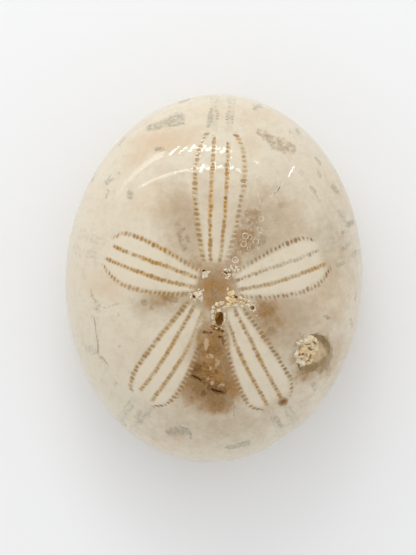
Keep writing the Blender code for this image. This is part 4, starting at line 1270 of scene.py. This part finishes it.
# The steps of the looks: where each begins and ends, and then the values there unless they are 0 and 1
STEPS = {
    "ground": (0.38, 0.62), "haze": (0.46, 0.66, 0.0, 0.25), "peach": (0.1, 1.0), "tan": (0.1, 1.0),
    "speck": (0.50, 0.75), "mottle": (0.44, 0.66), "mottle_in_tan": (0.0, 0.9, 0.05, 0.20),
    "rose": (0.40, 0.60, 0.75, 0.1), "rose_in_stain": (0.70, 0.95, 1.0, 0.0), "stain": (0.12, 0.65, 0.0, 0.97),
    "stain_core": (0.65, 1.35, 0.0, 0.90), "stain_light": (0.05, 0.16), "light_in_stain": (0.4, 0.9, 0.0, 0.35),
    "vein": (0.03, 0.14, 1.0, 0.0), "vein_gaps": (0.35, 0.55), "curls": (0.2, 0.9), "curl_gaps": (0.46, 0.58),
    "curl_rim": (0.02, 0.12, 1.0, 0.0), "curl_core": (0.04, 0.20, 1.0, 0.0), "pit": (-0.7, 0.3),
    "hole": (-0.4, 0.4), "in_broken": (0.2, 0.8), "in_deep": (1.2, 1.8), "petal": (0.15, 0.85),
    "petal_mottle": (0.25, 0.6, 0.7, 1.0), "comb_gaps": (0.36, 0.60, 0.15, 0.80),
    "band_gaps": (0.30, 0.62, 0.45, 0.95), "dark_pore": (0.72, 0.95, 0.0, 0.6), "dark_tint": (1.2, 1.7),
    "grey": (0.40, 0.60, 0.45, 1.0), "pore_strength": (0.0, 0.6, 0.45, 1.0), "pore": (0.60, 1.40, 1.0, 0.0),
    "tooth": (0.20, 0.44), "comb_start": (-0.70, -0.30), "comb_end": (0.0, 0.45, 1.0, 0.0),
    "dash_length": (0.18, 0.42, 1.0, 0.0), "dash_width": (0.10, 0.34, 1.0, 0.0), "dash_luck": (0.25, 0.6),
    "dash_haze": (0.3, 0.8, 1.0, 0.0), "crust_yellow": (0.0, 1.1), "crust_cloud": (0.38, 0.60, 0.35, 0.0),
    "crust_grain": (0.54, 0.66, 0.0, 0.60), "slit_edge": (-0.9, -0.1, 0.0, 0.6), "slit": (0.0, 0.5),
    "seat": (0.35, 0.65),
}
# How fully each mark covers the stone where it is strongest
COVERS = {"speck": 0.16, "brown": 0.6, "dark": 0.62, "pale": 0.75, "pale_vein": 0.7, "dark_vein": 0.65,
          "curl_rim": 0.50, "curl_core": 0.45, "pit_wall_shade": 0.85, "petal": 0.9, "pore": 0.92, "grey": 0.85,
          "dash": 0.65, "dash_haze": 0.22}
# How uneven noise makes each of these
UNREST = {"peach": 1.2, "tan": 0.9, "stain": 1.0, "stain_grain": 3.2, "vein": 0.35, "pit": 1.2,
          "pore_tint": 0.8, "crust": 1.0}
# The ragged edges of marks: how fine they are per mm, how far they reach and how soft they are
EDGES = {"brown": (1.4, 2.0, 0.9), "dark": (2.6, 2.4, 0.9), "pale": (2.2, 2.6, 0.9),
         "pit_floor": (0.9, 1.8, 1.5), "pit_wall_shade": (1.3, 2.4, 1.3), "grey": (2.2, 1.8, 1.2)}
# Detail and roughness of that edge
EDGE_NOISE = (4.0, 0.6)
STAIN_MARKS = {"brown": BROWN, "dark": DEEP_BROWN, "pale": STAIN_PINK}


def noisy(tree, place, name):
    """The noise of this name."""
    return grain(tree, place, *NOISES[name])


def step(tree, value, name):
    """The step of this name."""
    return ramp(tree, value, *STEPS[name])


def covering(tree, mask, name):
    """A mask as strong as the mark of this name covers the stone."""
    return times(tree, mask, COVERS[name])


def uneven(tree, value, name, unrest):
    """A value made uneven by noise that lies about 0."""
    return times_plus(tree, unrest, UNREST[name], value)


def ragged_mask_group():
    """Turns a smooth field into a patch with an uneven edge."""
    inputs = [("Place", "Vector"), ("Field", "Float", 0.0), ("Grain", "Float", 1.0), ("Reach", "Float", 0.5),
              ("Softness", "Float", 0.4)]
    tree, start, end = new_group("ragged mask", "ShaderNodeTree", inputs, [("Mask", "Float")])
    unrest = centred(tree, grain(tree, start.outputs["Place"], start.outputs["Grain"], *EDGE_NOISE))
    shifted = times_plus(tree, unrest, start.outputs["Reach"], start.outputs["Field"])
    feed(tree, end.inputs[0], ramp(tree, shifted, 0.0, start.outputs["Softness"]))
    return tree


def patches(tree, ragged, place, field, name):
    """Patches where a field is above 0, with the ragged edge of this name."""
    fineness, reach, softness = EDGES[name]
    return use_group(tree, ragged, Place=place, Field=field, Grain=fineness, Reach=reach,
                     Softness=softness).outputs[0]


# The dashes past the tips: how many to a pore, the least distance of each from the row's line in mm, and what
# chance adds to it
DASH_SEED = 9.0
DASHES_PER_PORE = 1.3
DASH_COLUMN = 0.22
DASH_SCATTER = 0.35
# The band beside a row, in mm: its clear core, where it ends and how much further it goes for drawn out pores
BAND_CORE = 0.14
BAND_REACH = 0.52
BAND_STRETCH = 0.08


def pore_pattern_group():
    """A row's pores, the band that joins them, the white combs beside them and the dashes past the tips."""
    inputs = [("Pore Place", "Vector")]
    inputs += [(name, "Float", 0.0) for name in ("Slot", "Strength", "Joint", "Beyond")]
    outputs = [(name, "Float") for name in ("Pore", "Shade", "Band", "Comb", "Dash")]
    tree, start, end = new_group("pore pattern", "ShaderNodeTree", inputs, outputs)
    slot = start.outputs["Slot"]
    far, chances, count, across = pore_sums(tree, start.outputs["Pore Place"], slot)
    strength = times(tree, start.outputs["Strength"], step(tree, chances[1], "pore_strength"))
    pore = times(tree, step(tree, far, "pore"), strength)

    aside = size_of(tree, across)
    reach = times_plus(tree, slot, BAND_STRETCH, BAND_REACH)
    band = times(tree, ramp(tree, aside, BAND_CORE, reach, 1.0, 0.0), start.outputs["Joint"])

    tooth = step(tree, size_of(tree, centred(tree, maths(tree, "FRACT", count))), "tooth")
    inward = times(tree, step(tree, across, "comb_start"), step(tree, across, "comb_end"))
    comb = times(tree, tooth, inward, slot)

    finer = times(tree, count, DASHES_PER_PORE)
    side = maths(tree, "GREATER_THAN", across, 0.0)
    luck = own_chances(tree, maths(tree, "FLOOR", finer), side, DASH_SEED)
    lie = size_of(tree, centred(tree, maths(tree, "FRACT", finer)))
    off_column = size_of(tree, minus(tree, aside, times_plus(tree, luck[1], DASH_SCATTER, DASH_COLUMN)))
    dash = times(tree, step(tree, lie, "dash_length"), step(tree, off_column, "dash_width"),
                 step(tree, luck[0], "dash_luck"))
    dash = maths(tree, "MAXIMUM", dash, covering(tree, step(tree, aside, "dash_haze"), "dash_haze"))
    dash = times(tree, dash, start.outputs["Beyond"])
    for socket, value in zip(end.inputs, (pore, chances[0], band, comb, dash)):
        feed(tree, socket, value)
    return tree


def stone_ground(tree, place, field):
    """Cream stone, clouded with peach and tan, with a few fine specks."""
    unrest = centred(tree, noisy(tree, place, "cloud"))
    colour = blend(tree, step(tree, noisy(tree, place, "broad"), "ground"), CREAM, PALE)
    colour = blend(tree, step(tree, noisy(tree, place, "haze"), "haze"), colour, CLOUD_GREY)
    for name, cloud in (("peach", PEACH), ("tan", TAN)):
        colour = blend(tree, step(tree, uneven(tree, field[name], name, unrest), name), colour, cloud)
    speck = covering(tree, step(tree, noisy(tree, place, "speck"), "speck"), "speck")
    colour = blend(tree, speck, colour, TAN)
    mottle = step(tree, noisy(tree, place, "mottle"), "mottle")
    return blend(tree, times(tree, mottle, step(tree, field["tan"], "mottle_in_tan")), colour, MOTTLE_TAN)


def stained(tree, place, field, stain, ragged, colour):
    """Brown stains with soft bodies, a fine grain, darker cores and pale crumbs, and the ragged marks."""
    fine = centred(tree, noisy(tree, place, "stain_grain"))
    body = uneven(tree, stain, "stain", centred(tree, noisy(tree, place, "stain")))
    rosy = times(tree, step(tree, noisy(tree, place, "rose"), "rose"), step(tree, stain, "rose_in_stain"))
    colour = blend(tree, step(tree, body, "stain"), colour, blend(tree, rosy, STAIN_TAN, STAIN_ROSE))
    core = step(tree, uneven(tree, body, "stain_grain", fine), "stain_core")
    colour = blend(tree, core, colour, STAIN_BROWN)
    light = times(tree, step(tree, fine, "stain_light"), step(tree, stain, "light_in_stain"))
    colour = blend(tree, light, colour, STAIN_PINK)
    for name, mark_colour in STAIN_MARKS.items():
        mask = covering(tree, patches(tree, ragged, place, field[name], name), name)
        colour = blend(tree, mask, colour, mark_colour)
    return colour


def veined(tree, place, vein, colour):
    """Pale and dark hairlines, broken here and there."""
    offset, shows, kind = put(tree, "ShaderNodeSeparateXYZ", vein).outputs
    sway = uneven(tree, offset, "vein", centred(tree, noisy(tree, place, "vein_sway")))
    shows = times(tree, shows, step(tree, noisy(tree, place, "vein_gaps"), "vein_gaps"))
    line = times(tree, step(tree, size_of(tree, sway), "vein"), shows)
    for name, side, line_colour in (("pale_vein", "GREATER_THAN", PALE), ("dark_vein", "LESS_THAN", BROWN)):
        mask = covering(tree, times(tree, line, maths(tree, side, kind, 0.0)), name)
        colour = blend(tree, mask, colour, line_colour)
    return colour


CURLS_PER_MM = 0.75
CURL_RADIUS = 0.32
CURL_SWAY = (0.5, 0.5, 0.5)
CURL_SWAY_SCALE = 1.2


def curled(tree, place, curls, colour):
    """Pale broken rings with dark middles, the seats of small spines."""
    sway = put(tree, "ShaderNodeTexNoise", sockets={"Vector": place, "Scale": CURL_SWAY_SCALE}).outputs["Color"]
    wavy = put(tree, "ShaderNodeVectorMath", sway, CURL_SWAY, place, operation="MULTIPLY_ADD").outputs[0]
    cells = put(tree, "ShaderNodeTexVoronoi", sockets={"Vector": wavy, "Scale": CURLS_PER_MM})
    away = cells.outputs["Distance"]
    shows = times(tree, step(tree, curls, "curls"), step(tree, noisy(tree, place, "curl_gaps"), "curl_gaps"))
    rim = step(tree, size_of(tree, minus(tree, away, CURL_RADIUS)), "curl_rim")
    colour = blend(tree, covering(tree, times(tree, rim, shows), "curl_rim"), colour, PALE)
    core = times(tree, step(tree, away, "curl_core"), shows)
    return blend(tree, covering(tree, core, "curl_core"), colour, BROWN)


def hollow_walls(tree, place, field, ragged, colour):
    """Sediment and dark shade in the broken hollows, orange to black in the small deep holes."""
    # Painted shade: the sediment of the broken hollows grows darker brown the deeper the wall lies
    depth = uneven(tree, field["depth"], "pit", centred(tree, noisy(tree, place, "pit")))
    sediment = blend(tree, step(tree, depth, "pit"), SEDIMENT, SHADED_SEDIMENT_BROWN)
    # The pit's right and lower walls, under the brown marks, are painted darker: partly stain, partly painted
    # shade
    wall = covering(tree, patches(tree, ragged, place, field["brown"], "pit_wall_shade"), "pit_wall_shade")
    sediment = blend(tree, wall, sediment, WALL_STAIN_AND_SHADE)
    sediment = blend(tree, patches(tree, ragged, place, field["pale"], "pit_floor"), sediment, SEDIMENT)
    hole = blend(tree, step(tree, field["rust"], "hole"), HOLE_BLACK, HOLE_ORANGE)
    colour = blend(tree, step(tree, field["inside"], "in_broken"), colour, sediment)
    return blend(tree, step(tree, field["inside"], "in_deep"), colour, hole)


# How much of a stain the white of a petal hides, and how much of the pores a soiled place hides
PETAL_HIDES = 0.85
SOIL_HIDES = 0.7
# How far noise shifts the colours of the pores, in pores along the row and in mm across it
PORE_WANDER = (0.45, 0.30, 0)
PORE_WANDER_SCALE = 1.9
# The polish fades towards the rim: the two levels in mm above the table, and the coat there
POLISH = (9.5, 14.0, 0.10, 0.60)
# What noise adds to the roughness, and the least of it. Broken stone is rougher and in higher relief.
STONE_ROUGHNESS = (0.12, 0.26)
CRUST_ROUGHNESS = (0.2, 0.65)
SEAT_ROUGHNESS = (0.2, 0.3)
BROKEN_ROUGHNESS = 0.5
BROKEN_RELIEF = 12.0
STONE_BUMP = {"Strength": 0.5, "Distance": 0.015 * MM}
CRUST_BUMP = {"Strength": 0.6, "Distance": 0.05 * MM}
# How much light goes into the stone and how far, in mm, and how far its red, green and blue parts go, as shares
STONE_GLOW = (0.12, 1.2)
CRUST_GLOW = (0.1, 0.5)
GLOW_REACH = (1.0, 0.62, 0.36)


def new_material(name):
    """A new material with its node tree, its shader and the place on the object in mm."""
    material = bpy.data.materials.new(name)
    material.use_nodes = True
    tree = material.node_tree
    place = put(tree, "ShaderNodeTexCoord").outputs["Object"]
    place = put(tree, "ShaderNodeVectorMath", place, operation="SCALE", sockets={"Scale": 1 / MM}).outputs[0]
    return material, tree, tree.nodes["Principled BSDF"], place


def glow_inside(shader, weight, reach):
    """Lets some of the light go a little way into the stone."""
    shader.inputs["Subsurface Weight"].default_value = weight
    shader.inputs["Subsurface Radius"].default_value = GLOW_REACH
    shader.inputs["Subsurface Scale"].default_value = reach * MM


def roughened(tree, shader, height, bump):
    """Gives a surface fine bumps of this height."""
    made = put(tree, "ShaderNodeBump", sockets={**bump, "Height": height})
    feed(tree, shader.inputs["Normal"], made.outputs[0])


def polished_stone(ragged, pores):
    """The stone of the shell, with its stains, petals, pores and hollows, under a glossy polish."""
    material, tree, shader, place = new_material("polished_fossil")
    field = {name: put(tree, "ShaderNodeAttribute", attribute_name=name).outputs["Fac"] for name in FIELDS}
    pore_place, vein = (put(tree, "ShaderNodeAttribute", attribute_name=name).outputs["Vector"]
                        for name in VECTOR_FIELDS)
    clean = minus(tree, 1.0, field["soiled"])

    white = times(tree, step(tree, field["petal"], "petal"), field["petal_white"],
                  step(tree, noisy(tree, place, "petal"), "petal_mottle"), clean)
    stain = times(tree, field["stain"], times_plus(tree, white, -PETAL_HIDES, 1.0))
    colour = stained(tree, place, field, stain, ragged, stone_ground(tree, place, field))
    colour = blend(tree, covering(tree, white, "petal"), colour, PETAL_WHITE)
    colour = veined(tree, place, vein, curled(tree, place, field["curls"], colour))

    wandered = wander(tree, place, PORE_WANDER_SCALE)
    wandered = put(tree, "ShaderNodeVectorMath", wandered, PORE_WANDER, pore_place,
                   operation="MULTIPLY_ADD").outputs[0]
    kept = times(tree, minus(tree, 1.0, field["faded"]), times_plus(tree, field["soiled"], -SOIL_HIDES, 1.0))
    marks = use_group(tree, pores, Pore_Place=wandered, Slot=field["pore_slot"],
                      Strength=times(tree, field["pore_strength"], kept),
                      Joint=times(tree, field["pore_band"], kept), Beyond=field["tip_band"]).outputs
    comb = times(tree, marks["Comb"], field["petal_white"], clean,
                 step(tree, noisy(tree, place, "comb_gaps"), "comb_gaps"))
    colour = blend(tree, comb, colour, PETAL_WHITE)
    tint = uneven(tree, field["pore_tint"], "pore_tint", centred(tree, marks["Shade"]))
    golden = times(tree, tint, -1.0)
    band_colour = blend(tree, golden, blend(tree, field["pore_tint"], BAND_OCHRE, BAND_GREY), BAND_GOLD)
    band = times(tree, marks["Band"], step(tree, noisy(tree, place, "band_gaps"), "band_gaps"))
    colour = blend(tree, band, colour, band_colour)
    pore_colour = blend(tree, golden, blend(tree, tint, PORE_OCHRE, PORE_UMBER), PORE_GOLD)
    dark = maths(tree, "MAXIMUM", step(tree, marks["Shade"], "dark_pore"), step(tree, tint, "dark_tint"))
    pore_colour = blend(tree, dark, pore_colour, PORE_DARK)
    colour = blend(tree, covering(tree, marks["Pore"], "pore"), colour, pore_colour)

    grey = times(tree, patches(tree, ragged, place, field["grey"], "grey"),
                 step(tree, noisy(tree, place, "grey"), "grey"))
    grey = maths(tree, "MAXIMUM", covering(tree, grey, "grey"), covering(tree, marks["Dash"], "dash"))
    colour = hollow_walls(tree, place, field, ragged, blend(tree, grey, colour, GREY_GREEN))
    feed(tree, shader.inputs["Base Color"], colour)

    inside = step(tree, field["inside"], "in_broken")
    rough = times_plus(tree, noisy(tree, place, "polish"), *STONE_ROUGHNESS)
    feed(tree, shader.inputs["Roughness"], times_plus(tree, inside, BROKEN_ROUGHNESS, rough))
    level = put(tree, "ShaderNodeSeparateXYZ", place).outputs[2]
    feed(tree, shader.inputs["Coat Weight"], times(tree, ramp(tree, level, *POLISH), minus(tree, 1.0, inside)))
    height = times(tree, noisy(tree, place, "bump"), times_plus(tree, inside, BROKEN_RELIEF, 1.0))
    roughened(tree, shader, times_plus(tree, marks["Pore"], -1.0, height), STONE_BUMP)
    glow_inside(shader, *STONE_GLOW)
    shader.inputs["Specular IOR Level"].default_value = 0.1
    shader.inputs["Coat Roughness"].default_value = 0.03
    return material


def crumbly_crust():
    """Chalky to yellow sediment with dark slits, dull all over."""
    material, tree, shader, place = new_material("crumbly_crust")
    tint, slit, crumb = (put(tree, "ShaderNodeAttribute", attribute_name=name).outputs["Fac"]
                         for name in ("tint", "slit", "crumb"))
    cloud, fine = noisy(tree, place, "crust_cloud"), noisy(tree, place, "crust_grain")
    yellow = uneven(tree, tint, "crust", centred(tree, cloud))
    bright = blend(tree, step(tree, yellow, "crust_yellow"), CRUST_CHALK, CRUST_YELLOW)
    colour = blend(tree, step(tree, cloud, "crust_cloud"), bright, CRUST_BROWN)
    colour = blend(tree, crumb, colour, bright)
    colour = blend(tree, step(tree, fine, "crust_grain"), colour, CRUST_BROWN)
    colour = blend(tree, step(tree, slit, "slit_edge"), colour, CRUST_ORANGE)
    feed(tree, shader.inputs["Base Color"], blend(tree, step(tree, slit, "slit"), colour, SLIT_BROWN))
    feed(tree, shader.inputs["Roughness"], times_plus(tree, fine, *CRUST_ROUGHNESS))
    roughened(tree, shader, fine, CRUST_BUMP)
    glow_inside(shader, *CRUST_GLOW)
    return material


def seat_stone():
    """The pale calcite of the spine seats, polished with the rest."""
    material, tree, shader, place = new_material("seat_calcite")
    cloud = noisy(tree, place, "seat")
    feed(tree, shader.inputs["Base Color"], blend(tree, step(tree, cloud, "seat"), TAN, SEAT_CREAM))
    feed(tree, shader.inputs["Roughness"], times_plus(tree, cloud, *SEAT_ROUGHNESS))
    shader.inputs["Coat Weight"].default_value = 0.6
    shader.inputs["Coat Roughness"].default_value = 0.06
    return material
# The camera looks straight down. At the widest level one pixel of the picture is this many mm.
PICTURE_SCALE = 0.1576
PICTURE_WIDTH, PICTURE_HEIGHT = 416, 555
OBJECT_PIXEL = (214.0, 278.5)
CAMERA_DISTANCE = 1500.0
SENSOR = 36.0
SIGHT_END = 10.0


def make_camera():
    data = bpy.data.cameras.new("camera")
    data.sensor_width = SENSOR
    data.lens = SENSOR * CAMERA_DISTANCE / (PICTURE_HEIGHT * PICTURE_SCALE)
    data.clip_end = SIGHT_END
    camera = bpy.data.objects.new("camera", data)
    bpy.context.scene.collection.objects.link(camera)
    right = (PICTURE_WIDTH / 2 - OBJECT_PIXEL[0]) * PICTURE_SCALE
    up = (OBJECT_PIXEL[1] - PICTURE_HEIGHT / 2) * PICTURE_SCALE
    camera.location = Vector((right, up, RIM_LEVEL + CAMERA_DISTANCE)) * MM
    bpy.context.scene.camera = camera


def area_light(name, matrix, size, brightness):
    """A rectangular lamp. Its brightness is 1 when it looks as bright as a white sheet in the room's light."""
    data = bpy.data.lights.new(name, "AREA")
    data.shape = "RECTANGLE"
    data.size, data.size_y = size[0] * MM, size[1] * MM
    data.energy = brightness * pi * data.size * data.size_y
    light = bpy.data.objects.new(name, data)
    bpy.context.scene.collection.objects.link(light)
    light.matrix_world = Matrix.Translation(matrix.translation * MM) @ matrix.to_3x3().to_4x4()


# Lamps whose reflections are the highlights. In a row, each lamp has the place of its reflection on the dome, x
# and y in mm, the share of the step to the next one that it fills, and its brightness. The last place only ends
# the row.
LAMP_DISTANCE = 550.0
LAMP_BRIGHTNESS = 1.25
FAR_ARC = (
    (-15.1, 13.3, 1.0, 1.6), (-13.6, 15.2, 1.0, 2.6), (-11.7, 17.1, 1.0, 3.6), (-9.8, 18.6, 0.9, 4.6),
    (-7.7, 19.6, 0.0, 0.0),
)
NEAR_ARC = (
    (-12.0, 14.1, 1.05, 3.5), (-10.9, 14.7, 1.05, 4.5), (-8.5, 15.7, 1.05, 5.0), (-6.1, 16.5, 1.05, 6.0),
    (-3.8, 16.9, 0.0, 0.0),
)
FAR_DASHES = (
    (-6.9, 19.9, 1.1, 14.0), (-5.5, 20.1, 1.0, 11.0), (-4.2, 20.1, 1.1, 17.0), (-2.8, 20.5, 1.0, 11.0),
    (-2.4, 20.3, 1.3, 17.0), (-1.3, 20.4, 1.2, 17.0), (-0.2, 20.3, 1.4, 14.0), (0.6, 20.0, 0.9, 17.0),
    (2.3, 20.1, 0.9, 8.0), (3.0, 19.7, 0.0, 0.0),
)
NEAR_DASHES = (
    (-3.3, 17.1, 1.1, 14.0), (-2.4, 17.0, 1.2, 20.0), (-1.4, 17.5, 0.9, 10.0), (-0.8, 17.3, 1.1, 20.0),
    (0.3, 17.4, 1.0, 14.0), (1.2, 17.3, 0.9, 14.0), (2.1, 17.3, 0.9, 16.0), (3.2, 17.2, 0.6, 8.0),
    (4.1, 16.9, 0.8, 12.0), (5.0, 16.5, 0.0, 0.0),
)
# Each row with its thickness in mm and its slant in degrees
LAMP_ROWS = {"far_arc": (FAR_ARC, 50, 4), "near_arc": (NEAR_ARC, 16, 0), "far_dashes": (FAR_DASHES, 18, 52),
             "near_dashes": (NEAR_DASHES, 14, 38)}
# Single lamps at the side: where the reflection starts and ends, its brightness, and the thickness of all in mm
SIDE_GLINTS = (((6.3, 18.3), (7.1, 18.0), 9.0), ((11.6, 15.9), (12.58, 17.6), 16.0))
GLINT_THICKNESS = 8
# Two large lamps, in mm: the place of each, a place that its long side points to, its size and its brightness
LARGE_LAMPS = {"ceiling": ((80, 260, 860), (500, 260, 860), (800, 800), 0.33),
               "window": ((-337, 540, 362), (-202, 540, 393), (945, 189), 0.32)}
# The light from all round: on the near side, on the far side and straight above
NEAR_SIDE = 0.94
FAR_SIDE = 0.95
OVERHEAD = 0.35
OVERHEAD_FROM = 0.70
# The table: half its side in metres and its colour
FLOOR_REACH = 3
TABLE_WHITE = (0.90, 0.905, 0.915, 1)
def lamp_place(spot):
    """Where a lamp hangs, in mm, for the camera to see its reflection at a spot on the dome."""
    stand = surface_frame(spot)
    normal = stand.col[2].to_3d()
    view = (Vector((0, 0, RIM_LEVEL + CAMERA_DISTANCE)) - stand.translation).normalized()
    towards = 2 * normal.dot(view) * normal - view
    return stand.translation + towards * LAMP_DISTANCE


def lamp_frame(place, beside, slant=0.0):
    """Faces the dome's top, with the lamp's long side towards a neighbouring place."""
    back = (place - Vector((0, 0, DOME_TOP))).normalized()
    along = beside - place
    along = (along - back * along.dot(back)).normalized()
    turned = Matrix((along, back.cross(along), back)).transposed().to_4x4()
    return Matrix.Translation(place) @ turned @ Matrix.Rotation(slant, 4, "Z")


def lamp_row(name, spots, thickness, slant):
    """A row of lamps, each turned out of the row's line by the slant."""
    places = [lamp_place(spot[:2]) for spot in spots]
    for index, (place, after, spot) in enumerate(zip(places, places[1:], spots)):
        size = ((after - place).length * spot[2], thickness)
        stand = lamp_frame((place + after) / 2, after, radians(slant))
        area_light(f"{name}_{index + 1}", stand, size, spot[3] * LAMP_BRIGHTNESS)


def make_room():
    """Nearly even light from all round, a little stronger from the far side and weaker from straight above."""
    world = bpy.data.worlds.new("room")
    world.use_nodes = True
    tree = world.node_tree
    way = put(tree, "ShaderNodeSeparateXYZ", put(tree, "ShaderNodeTexCoord").outputs["Generated"])
    shade = times(tree, ramp(tree, way.outputs[1], -1.0, 1.0, NEAR_SIDE, FAR_SIDE),
                  ramp(tree, way.outputs[2], OVERHEAD_FROM, 1.0, 1.0, OVERHEAD))
    tone = put(tree, "ShaderNodeCombineColor", shade, shade, shade)
    feed(tree, tree.nodes["Background"].inputs["Color"], tone.outputs[0])
    bpy.context.scene.world = world


def make_stage():
    """The white table, the room's light and the lamps."""
    reach = FLOOR_REACH
    corners = [(-reach, -reach, 0), (reach, -reach, 0), (reach, reach, 0), (-reach, reach, 0)]
    floor_mesh = new_mesh("floor", corners, [(0, 1, 2, 3)])
    floor = new_piece("floor", floor_mesh)
    material = bpy.data.materials.new("white_table")
    material.use_nodes = True
    shader = material.node_tree.nodes["Principled BSDF"]
    shader.inputs["Base Color"].default_value = TABLE_WHITE
    shader.inputs["Roughness"].default_value = 0.7
    shader.inputs["Specular IOR Level"].default_value = 0.2
    floor_mesh.materials.append(material)
    make_room()
    bpy.context.scene.view_settings.view_transform = "Standard"
    for name, (place, beside, size, brightness) in LARGE_LAMPS.items():
        area_light(name, lamp_frame(Vector(place), Vector(beside)), size, brightness)
    for name, (spots, thickness, slant) in LAMP_ROWS.items():
        lamp_row(name, spots, thickness, slant)
    for index, (start, end, brightness) in enumerate(SIDE_GLINTS):
        start, end = lamp_place(start), lamp_place(end)
        size = ((end - start).length, GLINT_THICKNESS)
        area_light(f"side_glint_{index + 1}", lamp_frame((start + end) / 2, end), size, brightness)


# The largest bend between two faces that is still shaded smooth, in degrees
SHELL_BEND, CRUST_BEND, SEAT_BEND = 50, 35, 60


def dressed(name, mesh, largest_bend):
    """Shades a finished mesh and makes it a piece of the sand dollar."""
    mesh.shade_smooth()
    mesh.set_sharp_from_angle(angle=radians(largest_bend))
    piece = new_piece(name, mesh)
    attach(piece, "root")
    return piece


def build():
    make_camera()
    make_stage()
    stone = polished_stone(ragged_mask_group(), pore_pattern_group())
    mesh = grown("polished_shell", shell_mesh(), press_pores_tree(), Stone=stone)
    mesh = cut_out(mesh, broken_hollows(), "broken_hollows", BROKEN)
    mesh = cut_out(mesh, deep_hollows(), "deep_hollows", DEEP)
    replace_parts(dressed("polished_shell", mesh, SHELL_BEND), NODE)
    crust, crumbs = crumbly_crust(), crumbs_tree()
    for name, lumps in (("pit_crust", PIT_CRUST), ("apex_crust", APEX_CRUST)):
        dressed(name, grown(name, crust_mesh(name, lumps), crumbs, Crust=crust), CRUST_BEND)
    dressed("spine_seats", grown("spine_seats", seats_mesh(), seats_tree(), Stone=seat_stone()), SEAT_BEND)


build()
